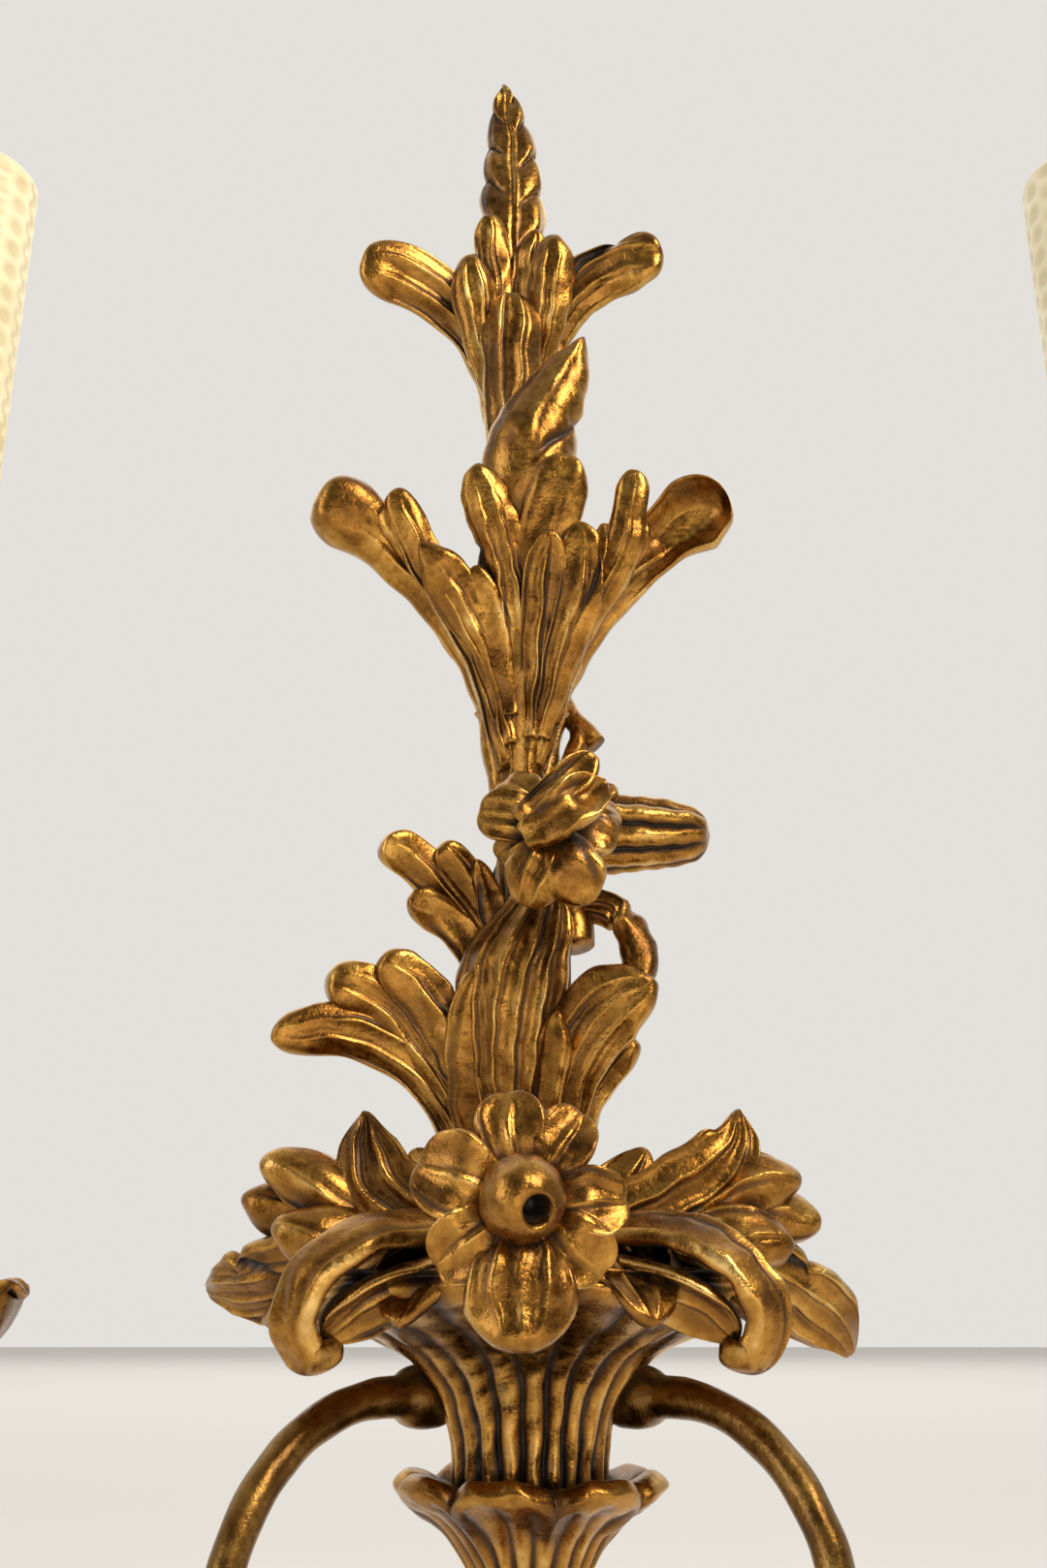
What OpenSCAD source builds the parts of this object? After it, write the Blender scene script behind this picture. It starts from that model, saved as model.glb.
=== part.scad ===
// Wall sconce for two candles: a carved and gilt limewood stem of leaves and flowers,
// two bent iron arms, and a leafy pan with a candle socket on each arm.
// Millimetres. +Z is up, the wall is the plane y = 0 and the front faces -Y.
// The origin is the point where the hanging loop's arch bears on its wall hook.

/* [Carved stem] */
// Height of the crown's root above the wall hook
crown_z = 145; // [125:1:175]
// Height of the calyx neck above the wall hook
calyx_z = 20; // [5:1:30]
// Depth of the foot of the stem leaves below the wall hook
foot_drop = 80; // [75:1:85]
// Depth of the vase rim below the wall hook
rim_drop = 122; // [115:1:130]
// Radius of the stem where it leaves the collar
stem_foot_r = 10.5; // [8.5:0.5:12.5]
// Radius of the stem at its waist
stem_r = 7.4; // [6:0.1:9]
// Distance of the stem's axis from the wall
stem_off = 15; // [13:0.5:18]
// Thickness of the carved leaves at the root
leaf_t = 6; // [5:0.5:7.5]

/* [Vase and tail] */
// Distance of the vase's axis from the wall
vase_off = 34; // [30:1:40]
// Radius of the vase's neck
neck_r = 18; // [15:0.5:22]
// Radius of the vase's rim
rim_r = 60; // [54:1:66]
// Height of the vase from its foot to its rim
vase_h = 42; // [36:1:50]
// Radius of the tulip cup's rim
tulip_r = 31; // [27:0.5:36]
// Height of the tulip cup
tulip_h = 40; // [34:1:48]
// Radius of the knop under the tulip cup
knop_r = 13; // [11:0.5:16]
// Length of the tail below the knop
tail_len = 108; // [90:1:130]
// Radius of the dowel that joins vase, tulip cup, knop and tail
dowel_r = 4; // [3:0.5:5]

/* [Arms] */
// Diameter of the arms' iron rod
rod_d = 8; // [6.5:0.5:9.5]
// Angle of each arm's plane from the wall
arm_turn = 44; // [36:1:52]
// Radius of the bend where the arm leaves the vase
bend_r = 42; // [36:1:50]
// Radius of the arm's lower loop
loop_r = 42; // [36:1:48]
// Length of rod between the two bends
arm_mid = 18; // [12:1:26]

/* [Candles and cups] */
// Diameter of the candles
candle_d = 24; // [20:0.5:28]
// Length of the candles
candle_l = 250; // [200:5:300]
// Depth of the candle sockets
socket_depth = 22; // [18:1:28]
// Wall thickness of the candle sockets
socket_wall = 4; // [3:0.5:5]
// Reach of the pan's petals from the candle's axis
petal_reach = 34; // [30:1:40]
// Diameter of the wick
wick_d = 2; // [1.6:0.1:2.4]

/* [Hanging] */
// Radius of the hanging loop's arch, to the wire's centre
loop_arch_r = 9.6; // [8.6:0.2:11]
// Diameter of the hanging wire
wire_d = 1.2; // [1:0.1:1.6]

/* [Hidden] */
seat_gap = 0.3;
fit = 0.05;
socket_fit = 0.3;
pin_r = 1.5;
tenon_r = 6;
ring_sides = 8;
stations = 8;
$fn = 48;

// Anchors. Each group of leaves is drawn from its own anchor on the stem or the vase.
stem_lean = -1.1;
stem_x = -1.5;
foot_z = -foot_drop;
rim_z = -rim_drop;
flower_z = -5;
crown_at = [-5, -stem_off, crown_z];
calyx_at = [-2, -stem_off, calyx_z];
mid_at = [-3, -stem_off, flower_z];
foot_at = [0, -stem_off, foot_z];
vase_at = [0, -vase_off, rim_z];
vase_top = 8;
boss_h = 13;
tenon_len = 28;
stem_front = 8;
neck_z = rim_z - vase_h + 14;
foot_of_vase = rim_z - vase_h;
tulip_floor = foot_of_vase;
tulip_rim_z = foot_of_vase + 8;
tulip_end = tulip_rim_z - tulip_h;
knop_h = 12;
tail_top = tulip_end - knop_h;
candle_seat = -130;
candle_r = candle_d / 2;
socket_r = candle_r + socket_fit;
socket_out = socket_r + socket_wall;
rod_r = rod_d / 2;
root_x = 20;
root_off = 29;
root_run = 16;
root_z = -140;
bend_angle = 80;
arm_stub_r = rod_r - 1;

// ---------- curves and the carved leaf ----------

function unit(v) = v / norm(v);
function mix(a, b, t) = a * (1 - t) + b * t;
function clampi(i, n) = max(0, min(n - 1, i));
// The way a leaf's width runs when the leaf leans outwards on side s by an angle.
function lean(s, angle, out = 0) = [cos(angle), out, -s * sin(angle)];

// A smooth value at t along a list of values: the curve passes through every one of them.
function spline(p, t) =
    let (n = len(p), i = min(floor(t), n - 2), f = t - i,
        a = p[clampi(i - 1, n)], b = p[i], c = p[i + 1], d = p[clampi(i + 2, n)])
    0.5 * (2 * b + (c - a) * f + (2 * a - 5 * b + 4 * c - d) * f * f
        + (3 * b - a - 3 * c + d) * f * f * f);

// The points of a leaf: an oval ring, cupped across its width, carried along its rib.
function leaf_ring(path, half, thick, side, cup, t, grow) =
    let (last = len(path) - 1, step = 0.02,
        here = spline(path, t),
        ahead = unit(spline(path, min(last, t + step)) - spline(path, max(0, t - step))),
        sideways = mix(side[0], side[1], t / last),
        across = unit(sideways - (sideways * ahead) * ahead),
        face = cross(across, ahead),
        w = max(0.8, spline(half, t)) + grow,
        h = thick / 2 * (1 - 0.5 * t / last) + grow,
        slip = t == 0 ? -grow : (t == last ? grow : 0))
    [for (k = [0 : ring_sides - 1])
        let (a = 360 * k / ring_sides)
        here + ahead * slip + across * w * cos(a)
            + face * (h * sin(a) + cup * w * (pow(cos(a), 2) - 0.5))];

// A closed skin over equal rings of points, capped at both ends.
module skin(rings) {
    n = len(rings[0]);
    m = len(rings);
    side_faces = [for (i = [0 : m - 2]) for (k = [0 : n - 1])
        let (a = i * n + k, b = i * n + (k + 1) % n, c = a + n, d = b + n)
        each [[a, b, c], [b, d, c]]];
    cap_faces = [for (k = [1 : n - 2]) each [[0, k + 1, k],
        [(m - 1) * n, (m - 1) * n + k, (m - 1) * n + k + 1]]];
    polyhedron(points = [for (r = rings) each r], faces = concat(side_faces, cap_faces));
}

// One carved leaf. path is its rib, half its half widths there, side the way its width runs
// at the root and at the tip.
module leaf(path, half, side = [[1, 0, 0], [1, 0, 0]], thick = leaf_t, cup = 0.15, grow = 0) {
    last = len(path) - 1;
    skin([for (i = [0 : stations])
        leaf_ring(path, half, thick, side, cup, last * i / stations, grow)]);
}

module tube(path, r, sides = 8, rings = 12) {
    last = len(path) - 1;
    skin([for (i = [0 : rings])
        let (t = last * i / rings, here = spline(path, t), e = 0.02,
            ahead = unit(spline(path, min(last, t + e)) - spline(path, max(0, t - e))),
            across = unit(cross(ahead, [0, 1, 0])), up = cross(across, ahead))
        [for (k = [0 : sides - 1])
            here + across * r * cos(360 * k / sides) + up * r * sin(360 * k / sides)]]);
}

// A cylinder from one point to another.
module rod(a, b, r) {
    d = b - a;
    translate(a) rotate([0, acos(d[2] / norm(d)), atan2(d[1], d[0])]) cylinder(r = r, h = norm(d));
}

// Takes the child's mesh as it is, after its cuts.
module carved() resize([0, 0, 0]) children();

module gold() color("goldenrod") children();

// ---------- glue pins: [leaf, what it is pinned to, start, end], from leaf into its seat ----------

PINS = [
    ["crown_sheath", "stem", crown_at + [0, -13, 0], crown_at + [0, -1, 0]],
    ["crown_curl_left", "stem", crown_at + [-10, -5, 5], crown_at + [-2, 0, -3]],
    ["crown_curl_right", "stem", crown_at + [10, -5, 5], crown_at + [4, 0, -1]],
    ["flame_leaf", "stem", calyx_at + [-3, -16, 82], calyx_at + [-2, -1, 77]],
    ["calyx_center_leaf", "stem", calyx_at + [-1, -13, 20], calyx_at + [-1, -1, 14]],
    ["calyx_curl_left", "stem", calyx_at + [-12, -6, 14], calyx_at + [-2.5, 0, 4]],
    ["calyx_curl_right", "stem", calyx_at + [12, -6, 14], calyx_at + [3, 0, 2]],
    ["stem_flower", "stem", mid_at + [6, -24, -1], mid_at + [1, -2, -1]],
    ["stem_bud_right", "stem", mid_at + [16, -6, 3], mid_at + [2, -2, 3]],
    ["stem_leaf_upper_left", "stem", foot_at + [-14, -4, 52], foot_at + [-3, -1, 46]],
    ["stem_leaf_lower_left", "stem", foot_at + [-16, -3, 4], foot_at + [-3, 0, -2]],
    ["stem_sheath", "stem", foot_at + [-3, -15, 10], foot_at + [-1, -1, 10]],
    ["stem_leaf_lower_right", "stem", foot_at + [11, -8, 2], foot_at + [3, -1, -3]],
    ["collar_flower", "collar_boss", vase_at + [1, -66, 16], vase_at + [1, -46, 16]],
];

module pin_rods(of, seat, r) {
    for (p = PINS)
        if (p[0] == of || p[1] == seat) rod(p[2], p[3], r);
}

// A leaf with the holes of its own pins, clear of the pins of the leaf under it.
module pinned(name, under = "") {
    difference() {
        carved() children();
        pin_rods(name, "", pin_r + fit);
        if (under != "") pin_rods(under, "", pin_r + seat_gap);
    }
}

// ---------- the stem ----------

stem_profile = [[0, crown_z + 34], [1.6, crown_z + 32], [4, crown_z + 20], [stem_r, crown_z],
    [stem_r, calyx_z + 90], [stem_r + 0.8, calyx_z + 40], [stem_r + 0.4, calyx_z],
    [stem_r, flower_z], [stem_r + 0.6, flower_z - 25], [stem_foot_r - 1, foot_z + 20],
    [stem_foot_r, foot_z], [stem_foot_r, rim_z + vase_top + boss_h], [0, rim_z + vase_top + boss_h]];

module stem_core(grow = 0) {
    intersection() {
        translate([stem_x, -stem_off, 0]) rotate([0, stem_lean, 0])
            rotate_extrude() offset_profile(stem_profile, grow);
        translate([-100, -200, -300]) cube([200, 194 + grow, 600]);
    }
}

// The profile with its radii grown.
module offset_profile(p, grow) polygon([for (q = p) [q[0] > 0 ? q[0] + grow : 0, q[1]]]);

module tenon(grow) {
    translate([0, -stem_off, rim_z + vase_top + boss_h - tenon_len - grow])
        cylinder(r = tenon_r + grow, h = tenon_len + 2 + grow);
}

module stem() gold() {
    difference() {
        union() {
            stem_core();
            tenon(0);
        }
        pin_rods("", "stem", pin_r + fit);
        eye_holes();
    }
}

// ---------- the crown ----------

crown_center_path = [[0, -5, 14], [0, -8, 40], [0, -9, 62], [-1, -9, 84], [-3, -9, 103]];
module crown_center(grow = 0) translate(crown_at)
    leaf(crown_center_path, [6, 9.5, 8.5, 6, 1.2], cup = -0.15, grow = grow);
module crown_sheath_leaf(grow = 0) translate(crown_at)
    leaf([[1, -6, -12], [0, -12, 0], [-1, -15, 15]], [7, 8, 3.4], cup = -0.3, grow = grow);
module crown_curl(s, grow = 0) translate(crown_at)
    leaf([[s * 3, -2, -10], [s * 13, -8, 14], [s * 27, -14, 28], [s * 40, -20, 33], [s * 44, -22, 32]],
        [4.5, 7.6, 9, 6, 2.4], [[1, 0, 0], lean(s, 60)], grow = grow);
module crown_bud(s, grow = 0) translate(crown_at)
    leaf([[s * 5.4, -8, -2], [s * 12, -15, 19], [s * 18, -21, 38]], [3.4, 5.8, 3],
        [[1, 0, 0], lean(s, 24)], grow = grow);
module crown_inner(s, grow = 0) translate(crown_at)
    leaf([[s * 5.4, -8, 12], [s * 7.6, -14, 28], [s * 8, -18, 46]], [3.6, 5.8, 2.4], grow = grow);

module crown_center_leaf() gold() pinned("crown_center_leaf") difference() {
    crown_center();
    stem_core(seat_gap);
}
module crown_sheath() gold() pinned("crown_sheath") difference() {
    crown_sheath_leaf();
    stem_core(seat_gap);
}
module crown_curl_side(s, name) gold() pinned(name) difference() {
    crown_curl(s);
    stem_core(seat_gap);
    crown_sheath_leaf(seat_gap);
}
module crown_bud_side(s, name) gold() pinned(name) difference() {
    crown_bud(s);
    stem_core(seat_gap);
    crown_sheath_leaf(seat_gap);
    crown_center(seat_gap);
    crown_curl(s, seat_gap);
}
module crown_inner_side(s, name) gold() pinned(name) difference() {
    crown_inner(s);
    stem_core(seat_gap);
    crown_sheath_leaf(seat_gap);
    crown_center(seat_gap);
    crown_bud(s, seat_gap);
    crown_curl(s, seat_gap);
}

// ---------- the calyx and the flame leaf ----------

module calyx_center(grow = 0) translate(calyx_at)
    leaf([[-1, -6, -4], [-1, -11, 16], [-2, -18, 40], [-1, -24, 61], [0, -28, 74], [2, -30, 80]],
        [4, 5.4, 8.4, 13, 10.6, 2.2], cup = -0.2, grow = grow);
module calyx_curl(s, grow = 0) translate(calyx_at)
    leaf([[s * 4, -3, -6], [s * 15, -8, 24], [s * 34, -13, 50], [s * 46, -19, 66], [s * 58, -24, 70]],
        [4, 8, 8.4, 9.6, 6], [[1, 0, 0], lean(s, 58)], grow = grow);
module calyx_lobe(s, grow = 0) translate(calyx_at)
    leaf([[s * 5.3, -7, 0], [s * 14.4, -15, 30], [s * 27.6, -21, 55], [s * (s < 0 ? 38 : 32), -24, s < 0 ? 72 : 80]],
        [3.4, 5.6, 5.6, 2.8], [[1, 0, 0], lean(s, 20)], grow = grow);
module calyx_front(s, grow = 0) translate(calyx_at)
    leaf(s < 0 ? [[-3, -9, 6], [-10, -18, 24], [-19, -24, 44], [-26, -27, 56]]
            : [[2, -10, 6], [6, -21, 32], [8, -30, 58]],
        s < 0 ? [3, 5.4, 6, 1.6] : [3.4, 6.6, 4.6], grow = grow);
module calyx_side_right(grow = 0) translate(calyx_at)
    leaf([[5, -9, 5], [12, -18, 23], [17, -24, 43], [20, -27, 60]], [3, 5, 5.4, 2.6], grow = grow);
module flame(grow = 0) translate(calyx_at)
    leaf([[-4, -5, 70], [-4, -18, 84], [2, -24, 98], [11, -26, 108], [18, -25, 120]],
        [6, 11, 10.4, 6.8, 1.4], thick = leaf_t + 3, cup = -0.3, grow = grow);

module calyx_center_leaf() gold() pinned("calyx_center_leaf") difference() {
    calyx_center();
    stem_core(seat_gap);
}
module flame_leaf() gold() pinned("flame_leaf") difference() {
    flame();
    stem_core(seat_gap);
    calyx_center(seat_gap);
}
module calyx_curl_side(s, name) gold() pinned(name) difference() {
    calyx_curl(s);
    stem_core(seat_gap);
    calyx_center(seat_gap);
}
module calyx_lobe_side(s, name) gold() pinned(name) difference() {
    calyx_lobe(s);
    stem_core(seat_gap);
    calyx_center(seat_gap);
    calyx_curl(s, seat_gap);
}
module calyx_front_side(s, name) gold() pinned(name) difference() {
    calyx_front(s);
    stem_core(seat_gap);
    calyx_center(seat_gap);
    calyx_curl(s, seat_gap);
    calyx_lobe(s, seat_gap);
}
module calyx_side_leaf_right() gold() pinned("calyx_side_leaf_right") difference() {
    calyx_side_right();
    stem_core(seat_gap);
    calyx_center(seat_gap);
    calyx_curl(1, seat_gap);
    calyx_lobe(1, seat_gap);
    calyx_front(1, seat_gap);
}

// ---------- flowers ----------

// Petals round a centre, facing -Y: rays gives each one's angle, length, half width and droop.
module petals(rays, grow = 0) {
    for (r = rays)
        rotate([0, -r[0], 0])
            leaf([[2, 0, 0], [r[1] * 0.55, -4, 0], [r[1], r[3], 0]], [2.5, r[2], r[2] * 0.55],
                [[0, 0, 1], [0, 0, 1]], leaf_t - 1, 0.2, grow);
}

stem_flower_rays = [[20, 15, 6, 2], [75, 16, 6, 3], [125, 16, 6, 2], [180, 16, 6, 2],
    [235, 17, 6, 1], [290, 18, 7, 0], [335, 14, 5, 3]];
collar_flower_rays = [[10, 20, 7, 2], [60, 24, 7, 3], [112, 24, 7, 3], [160, 21, 7, 2],
    [208, 20, 7, 1], [268, 24, 10, -4], [325, 20, 7, 1]];

module stem_flower_shape(grow = 0) translate(mid_at + [10, -27, -2]) {
    petals(stem_flower_rays, grow);
    rotate([90, 0, 0]) cylinder(r = 6 + grow, h = 12 + grow, $fn = 16);
    rotate([-90, 0, 0]) cylinder(r = 5 + grow, h = 12, $fn = 16);
}
module collar_flower_shape(grow = 0) translate(vase_at + [1, -66, 16]) {
    petals(collar_flower_rays, grow);
    rotate([90, 0, 0]) cylinder(r = 9 + grow, h = 12 + grow, $fn = 20);
}

module stem_flower() gold() pinned("stem_flower") difference() {
    stem_flower_shape();
    stem_core(seat_gap);
    stem_sheath_leaf(seat_gap);
}
module collar_flower() gold() pinned("collar_flower") difference() {
    collar_flower_shape();
    boss_shape(seat_gap);
}

// ---------- the leaves low on the stem ----------

module upper_left(grow = 0) translate(foot_at)
    leaf([[-4, -2, 34], [-12, -3, 46], [-19, -5, 58], [-29, -9, 67], [-39, -13, 73]],
        [4, 5.4, 9.4, 9.4, 3], [lean(-1, 20), lean(-1, 60)], grow = grow);
module lower_left(grow = 0) translate(foot_at)
    leaf([[-7, -2, -6], [-16, -3, 6], [-30, -7, 24], [-48, -11, 30], [-63, -15, 25]],
        [5, 6.2, 9.8, 10.2, 2.4], [lean(-1, 30), lean(-1, 90)], grow = grow);
module lower_right(grow = 0) translate(foot_at)
    leaf([[4, -5, -8], [7, -10, 4], [12, -15, 18], [20, -18, 28], [30, -19, 35]],
        [5, 7.2, 10.6, 9.4, 2.8], [[1, 0, 0], lean(1, 45)], grow = grow);
module stem_sheath_leaf(grow = 0) translate(foot_at)
    leaf([[-4, -8, -6], [-6, -15, 18], [-6, -18, 38], [-1, -16, 56]], [11, 12.4, 10.6, 5],
        cup = -0.35, grow = grow);
module bud_right(grow = 0) translate(mid_at)
    leaf([[6, -4, 3], [20, -7, 3], [34, -9, 3], [45, -11, 2], [49, -12, 1]], [5, 8, 9.4, 8, 3],
        [[0, 0, 1], [0, 0, 1]], leaf_t + 2, 0.1, grow);

tendril_path = [[5, -1, 54], [15, -4, 57], [24, -6, 53], [27, -9, 44], [25, -13, 38]];
twig_path = [[4, 2, 56], [12, 3, 46], [18, 0, 34], [17, -8, 20]];

module upper_left_side() gold() pinned("stem_leaf_upper_left") difference() {
    upper_left();
    stem_core(seat_gap);
    stem_sheath_leaf(seat_gap);
    hanger_shape(seat_gap);
}
module lower_left_side() gold() pinned("stem_leaf_lower_left") difference() {
    lower_left();
    stem_core(seat_gap);
    stem_sheath_leaf(seat_gap);
}
module lower_right_side() gold() pinned("stem_leaf_lower_right") difference() {
    lower_right();
    stem_core(seat_gap);
    stem_sheath_leaf(seat_gap);
}
module stem_sheath() gold() pinned("stem_sheath", "stem_leaf_lower_right") difference() {
    stem_sheath_leaf();
    stem_core(seat_gap);
}
module stem_bud_right() gold() pinned("stem_bud_right") difference() {
    bud_right();
    stem_core(seat_gap);
    stem_flower_shape(seat_gap);
}
module tendril() gold() carved() difference() {
    translate(foot_at) tube(tendril_path, 3.2);
    stem_core(seat_gap);
    lower_right(seat_gap);
    stem_flower_shape(seat_gap);
    hanger_shape(seat_gap);
}
module twig() gold() carved() difference() {
    translate(mid_at) tube(twig_path, 2.4);
    stem_core(seat_gap);
    stem_flower_shape(seat_gap);
    bud_right(seat_gap);
    calyx_curl(1, seat_gap);
}

// ---------- vase, collar, tulip cup and tail ----------

vase_profile = [[0, foot_of_vase - rim_z], [neck_r - 4.5, foot_of_vase - rim_z],
    [neck_r - 1, -vase_h + 9], [neck_r, -vase_h + 14], [neck_r + 3.1, -vase_h + 22.6],
    [mix(neck_r, rim_r, 0.25), -9.5], [mix(neck_r, rim_r, 0.5), -4], [mix(neck_r, rim_r, 0.8), -0.5],
    [rim_r, 2], [rim_r, 5], [rim_r - 6, vase_top], [0, vase_top]];

module turned(profile)
    translate([0, -vase_off, rim_z]) rotate([0, 0, -90]) rotate_extrude() polygon(profile);
module wall_side(gap = 0) translate([-200, -gap, -500]) cube([400, 200, 900]);

module vase() gold() difference() {
    turned(vase_profile);
    wall_side(seat_gap);
    tenon(fit);
    wall_block_shape(0);
    dowel_shape(fit);
    for (s = [-1, 1]) arm_end(s, fit);
    screw_shapes(fit);
}

module boss_shape(grow = 0) {
    difference() {
        union() {
            turned([[0, vase_top], [38 + grow, vase_top], [34 + grow, vase_top + boss_h * 0.6],
                [16 + grow, vase_top + boss_h + grow], [0, vase_top + boss_h + grow]]);
            rod(vase_at + [1, -20, 16], vase_at + [1, -64 - grow, 16], 7 + grow);
        }
        wall_side(seat_gap - grow);
        translate([-100, -200, rim_z + vase_top - 10]) cube([200, 300, 10]);
    }
}
module collar_boss() gold() difference() {
    boss_shape();
    tenon(fit);
    pin_rods("", "collar_boss", pin_r + fit);
}

module scroll(s, grow = 0) translate(vase_at)
    leaf([[s * 8, -22, 16], [s * 16, -38, 20], [s * 29, -48, 18], [s * 40, -51, 9], [s * 44, -48, -5]],
        [5, 6.6, 7.4, 7, 3], [[s * 0.6, 0.8, 0], [s * 0.4, 0.9, 0]], cup = -0.35, grow = grow);
module side_leaf(s, grow = 0) translate(vase_at)
    leaf([[s * 24, -6, 14], [s * 36, -12, 14], [s * 50, -13, 10], [s * 63, -6, 3],
            [s * 76, 6, s < 0 ? 8 : -4]],
        [5, 7.6, 8.4, 8, 3], [[0, 1, 0], [s * 0.2, 1, 0]], cup = -0.2, grow = grow);
module collar_bud(s, grow = 0) translate(vase_at)
    leaf([[s * 20, -18, 16], [s * 34, -23, 20], [s * 51, -19, 22], [s * 63, -13, s < 0 ? 27 : 21]],
        [4, 8, 9.6, 3.4], [[0, 1, 0], [0, 0.7, 0.7]], leaf_t + 4, 0.1, grow);
module upright(s, grow = 0) translate(vase_at)
    leaf([[s * 12, -24, 17], [s * 22, -30, 21], [s * (s < 0 ? 31 : 35), -28, 28],
            [s * (s < 0 ? 36 : 46), -24, 39]],
        [5, 6.3, 6.8, 2.8], [[s * -0.3, 0.9, 0], [s * 0.7, 0.6, 0]], grow = grow);
module back_leaf(s, grow = 0) translate(vase_at)
    leaf([[s * 12, 2, 17], [s * 20, -2, 26], [s * 28, 0, 38]], [5, 6, 3],
        [[1, 0, 0], [1, 0, 0]], grow = grow);

module scroll_side(s, name) gold() pinned(name) difference() {
    scroll(s);
    boss_shape(seat_gap);
    collar_flower_shape(seat_gap);
    vase_skin();
}
module side_leaf_side(s, name) gold() pinned(name) difference() {
    side_leaf(s);
    boss_shape(seat_gap);
    scroll(s, seat_gap);
    vase_skin();
    wall_side(seat_gap);
}
module collar_bud_side(s, name) gold() pinned(name) difference() {
    collar_bud(s);
    boss_shape(seat_gap);
    scroll(s, seat_gap);
    side_leaf(s, seat_gap);
}
module upright_side(s, name) gold() pinned(name) difference() {
    upright(s);
    boss_shape(seat_gap);
    scroll(s, seat_gap);
    collar_bud(s, seat_gap);
    collar_flower_shape(seat_gap);
}
module collar_back_leaves() gold() carved() for (s = [-1, 1]) difference() {
    back_leaf(s);
    boss_shape(seat_gap);
    stem_core(seat_gap);
    upright(s, seat_gap);
    collar_bud(s, seat_gap);
    wall_side(seat_gap);
}
// The vase's outside with a glue gap, for what rests on its rim.
module vase_skin() turned([for (q = vase_profile) [q[0] > 0 ? q[0] + seat_gap : 0, q[1] + seat_gap]]);

tulip_base = tulip_end - rim_z;
tulip_rim = tulip_rim_z - rim_z;
tulip_in = foot_of_vase - rim_z;
module tulip_cup() gold() difference() {
    turned([[0, tulip_in], [neck_r - 4, tulip_in], [neck_r + 3, tulip_in + 4],
        [tulip_r - 2.5, tulip_rim - 0.5], [tulip_r - 1, tulip_rim], [tulip_r, tulip_rim - 1.5],
        [mix(10, tulip_r, 0.72), tulip_rim - 7], [mix(10, tulip_r, 0.46), tulip_rim - 12],
        [mix(10, tulip_r, 0.24), tulip_rim - 19], [mix(10, tulip_r, 0.1), tulip_rim - 27],
        [9.5, tulip_base], [0, tulip_base]]);
    wall_side(seat_gap);
    dowel_shape(fit);
    wall_block_shape(seat_gap);
}
module knop() gold() difference() {
    turned([[0, tulip_base], [8, tulip_base], [knop_r - 1, tulip_base - 2.5],
        [knop_r, tulip_base - knop_h / 2], [knop_r - 1, tulip_base - knop_h + 2.5],
        [8, tulip_base - knop_h], [0, tulip_base - knop_h]]);
    dowel_shape(fit);
}
tail_base = tulip_base - knop_h;
tail_profile = [[0, tail_base], [7.5, tail_base], [12, tail_base - tail_len * 0.1],
    [14, tail_base - tail_len * 0.22], [12.5, tail_base - tail_len * 0.4],
    [8.5, tail_base - tail_len * 0.62], [5, tail_base - tail_len * 0.82],
    [2, tail_base - tail_len * 0.96], [0, tail_base - tail_len]];
module tail() gold() difference() {
    turned(tail_profile);
    dowel_shape(fit);
}
module tail_leaves() gold() carved() for (a = [-90, -30, 30, 90]) difference() {
    translate([0, -vase_off, tail_top]) rotate([0, 0, a])
        leaf([[0, -8, -3], [0, -16, -12], [0, -20, -28], [0, -25, -44], [0, -32, -52]],
            [5, 7.5, 9, 7, 2], cup = -0.25, thick = leaf_t - 1);
    turned([for (q = tail_profile) [q[0] > 0 ? q[0] + seat_gap : 0, q[1]]]);
    if (abs(a) > 60) translate([0, -vase_off, tail_top]) rotate([0, 0, a > 0 ? 30 : -30])
        leaf([[0, -8, -3], [0, -16, -12], [0, -20, -28], [0, -25, -44], [0, -32, -52]],
            [5, 7.5, 9, 7, 2], cup = -0.25, thick = leaf_t - 1, grow = seat_gap);
    if (a == -30) translate([0, -vase_off, tail_top]) rotate([0, 0, 30])
        leaf([[0, -8, -3], [0, -16, -12], [0, -20, -28], [0, -25, -44], [0, -32, -52]],
            [5, 7.5, 9, 7, 2], cup = -0.25, thick = leaf_t - 1, grow = seat_gap);
}

module dowel_shape(grow) translate([0, -vase_off, tail_top - 16 - grow])
    cylinder(r = dowel_r + grow, h = foot_of_vase + 16 - tail_top + 16 + 2 * grow);
module center_dowel() color("tan") dowel_shape(0);

// ---------- the wall side ----------

block_w = 20;
block_top = rim_z - 12;
block_h = 28;
module wall_block_shape(grow) translate([-block_w / 2 - grow, -20 - grow, block_top - block_h - grow])
    cube([block_w + 2 * grow, 20 + grow, block_h + 2 * grow]);
module screw_shapes(grow) for (z = [block_top - 10, block_top - 22]) {
    rod([0, -4, z], [0, -28 - grow, z], 2 + grow);
    rod([0, -1, z], [0, -4.01, z], 4 + grow);
}
module wall_block() color("peru") difference() {
    wall_block_shape(0);
    screw_shapes(fit);
    for (z = [block_top - 10, block_top - 22]) rod([0, 1, z], [0, -4, z], 4 + fit);
}
module block_screws() color("silver") screw_shapes(0);

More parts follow.
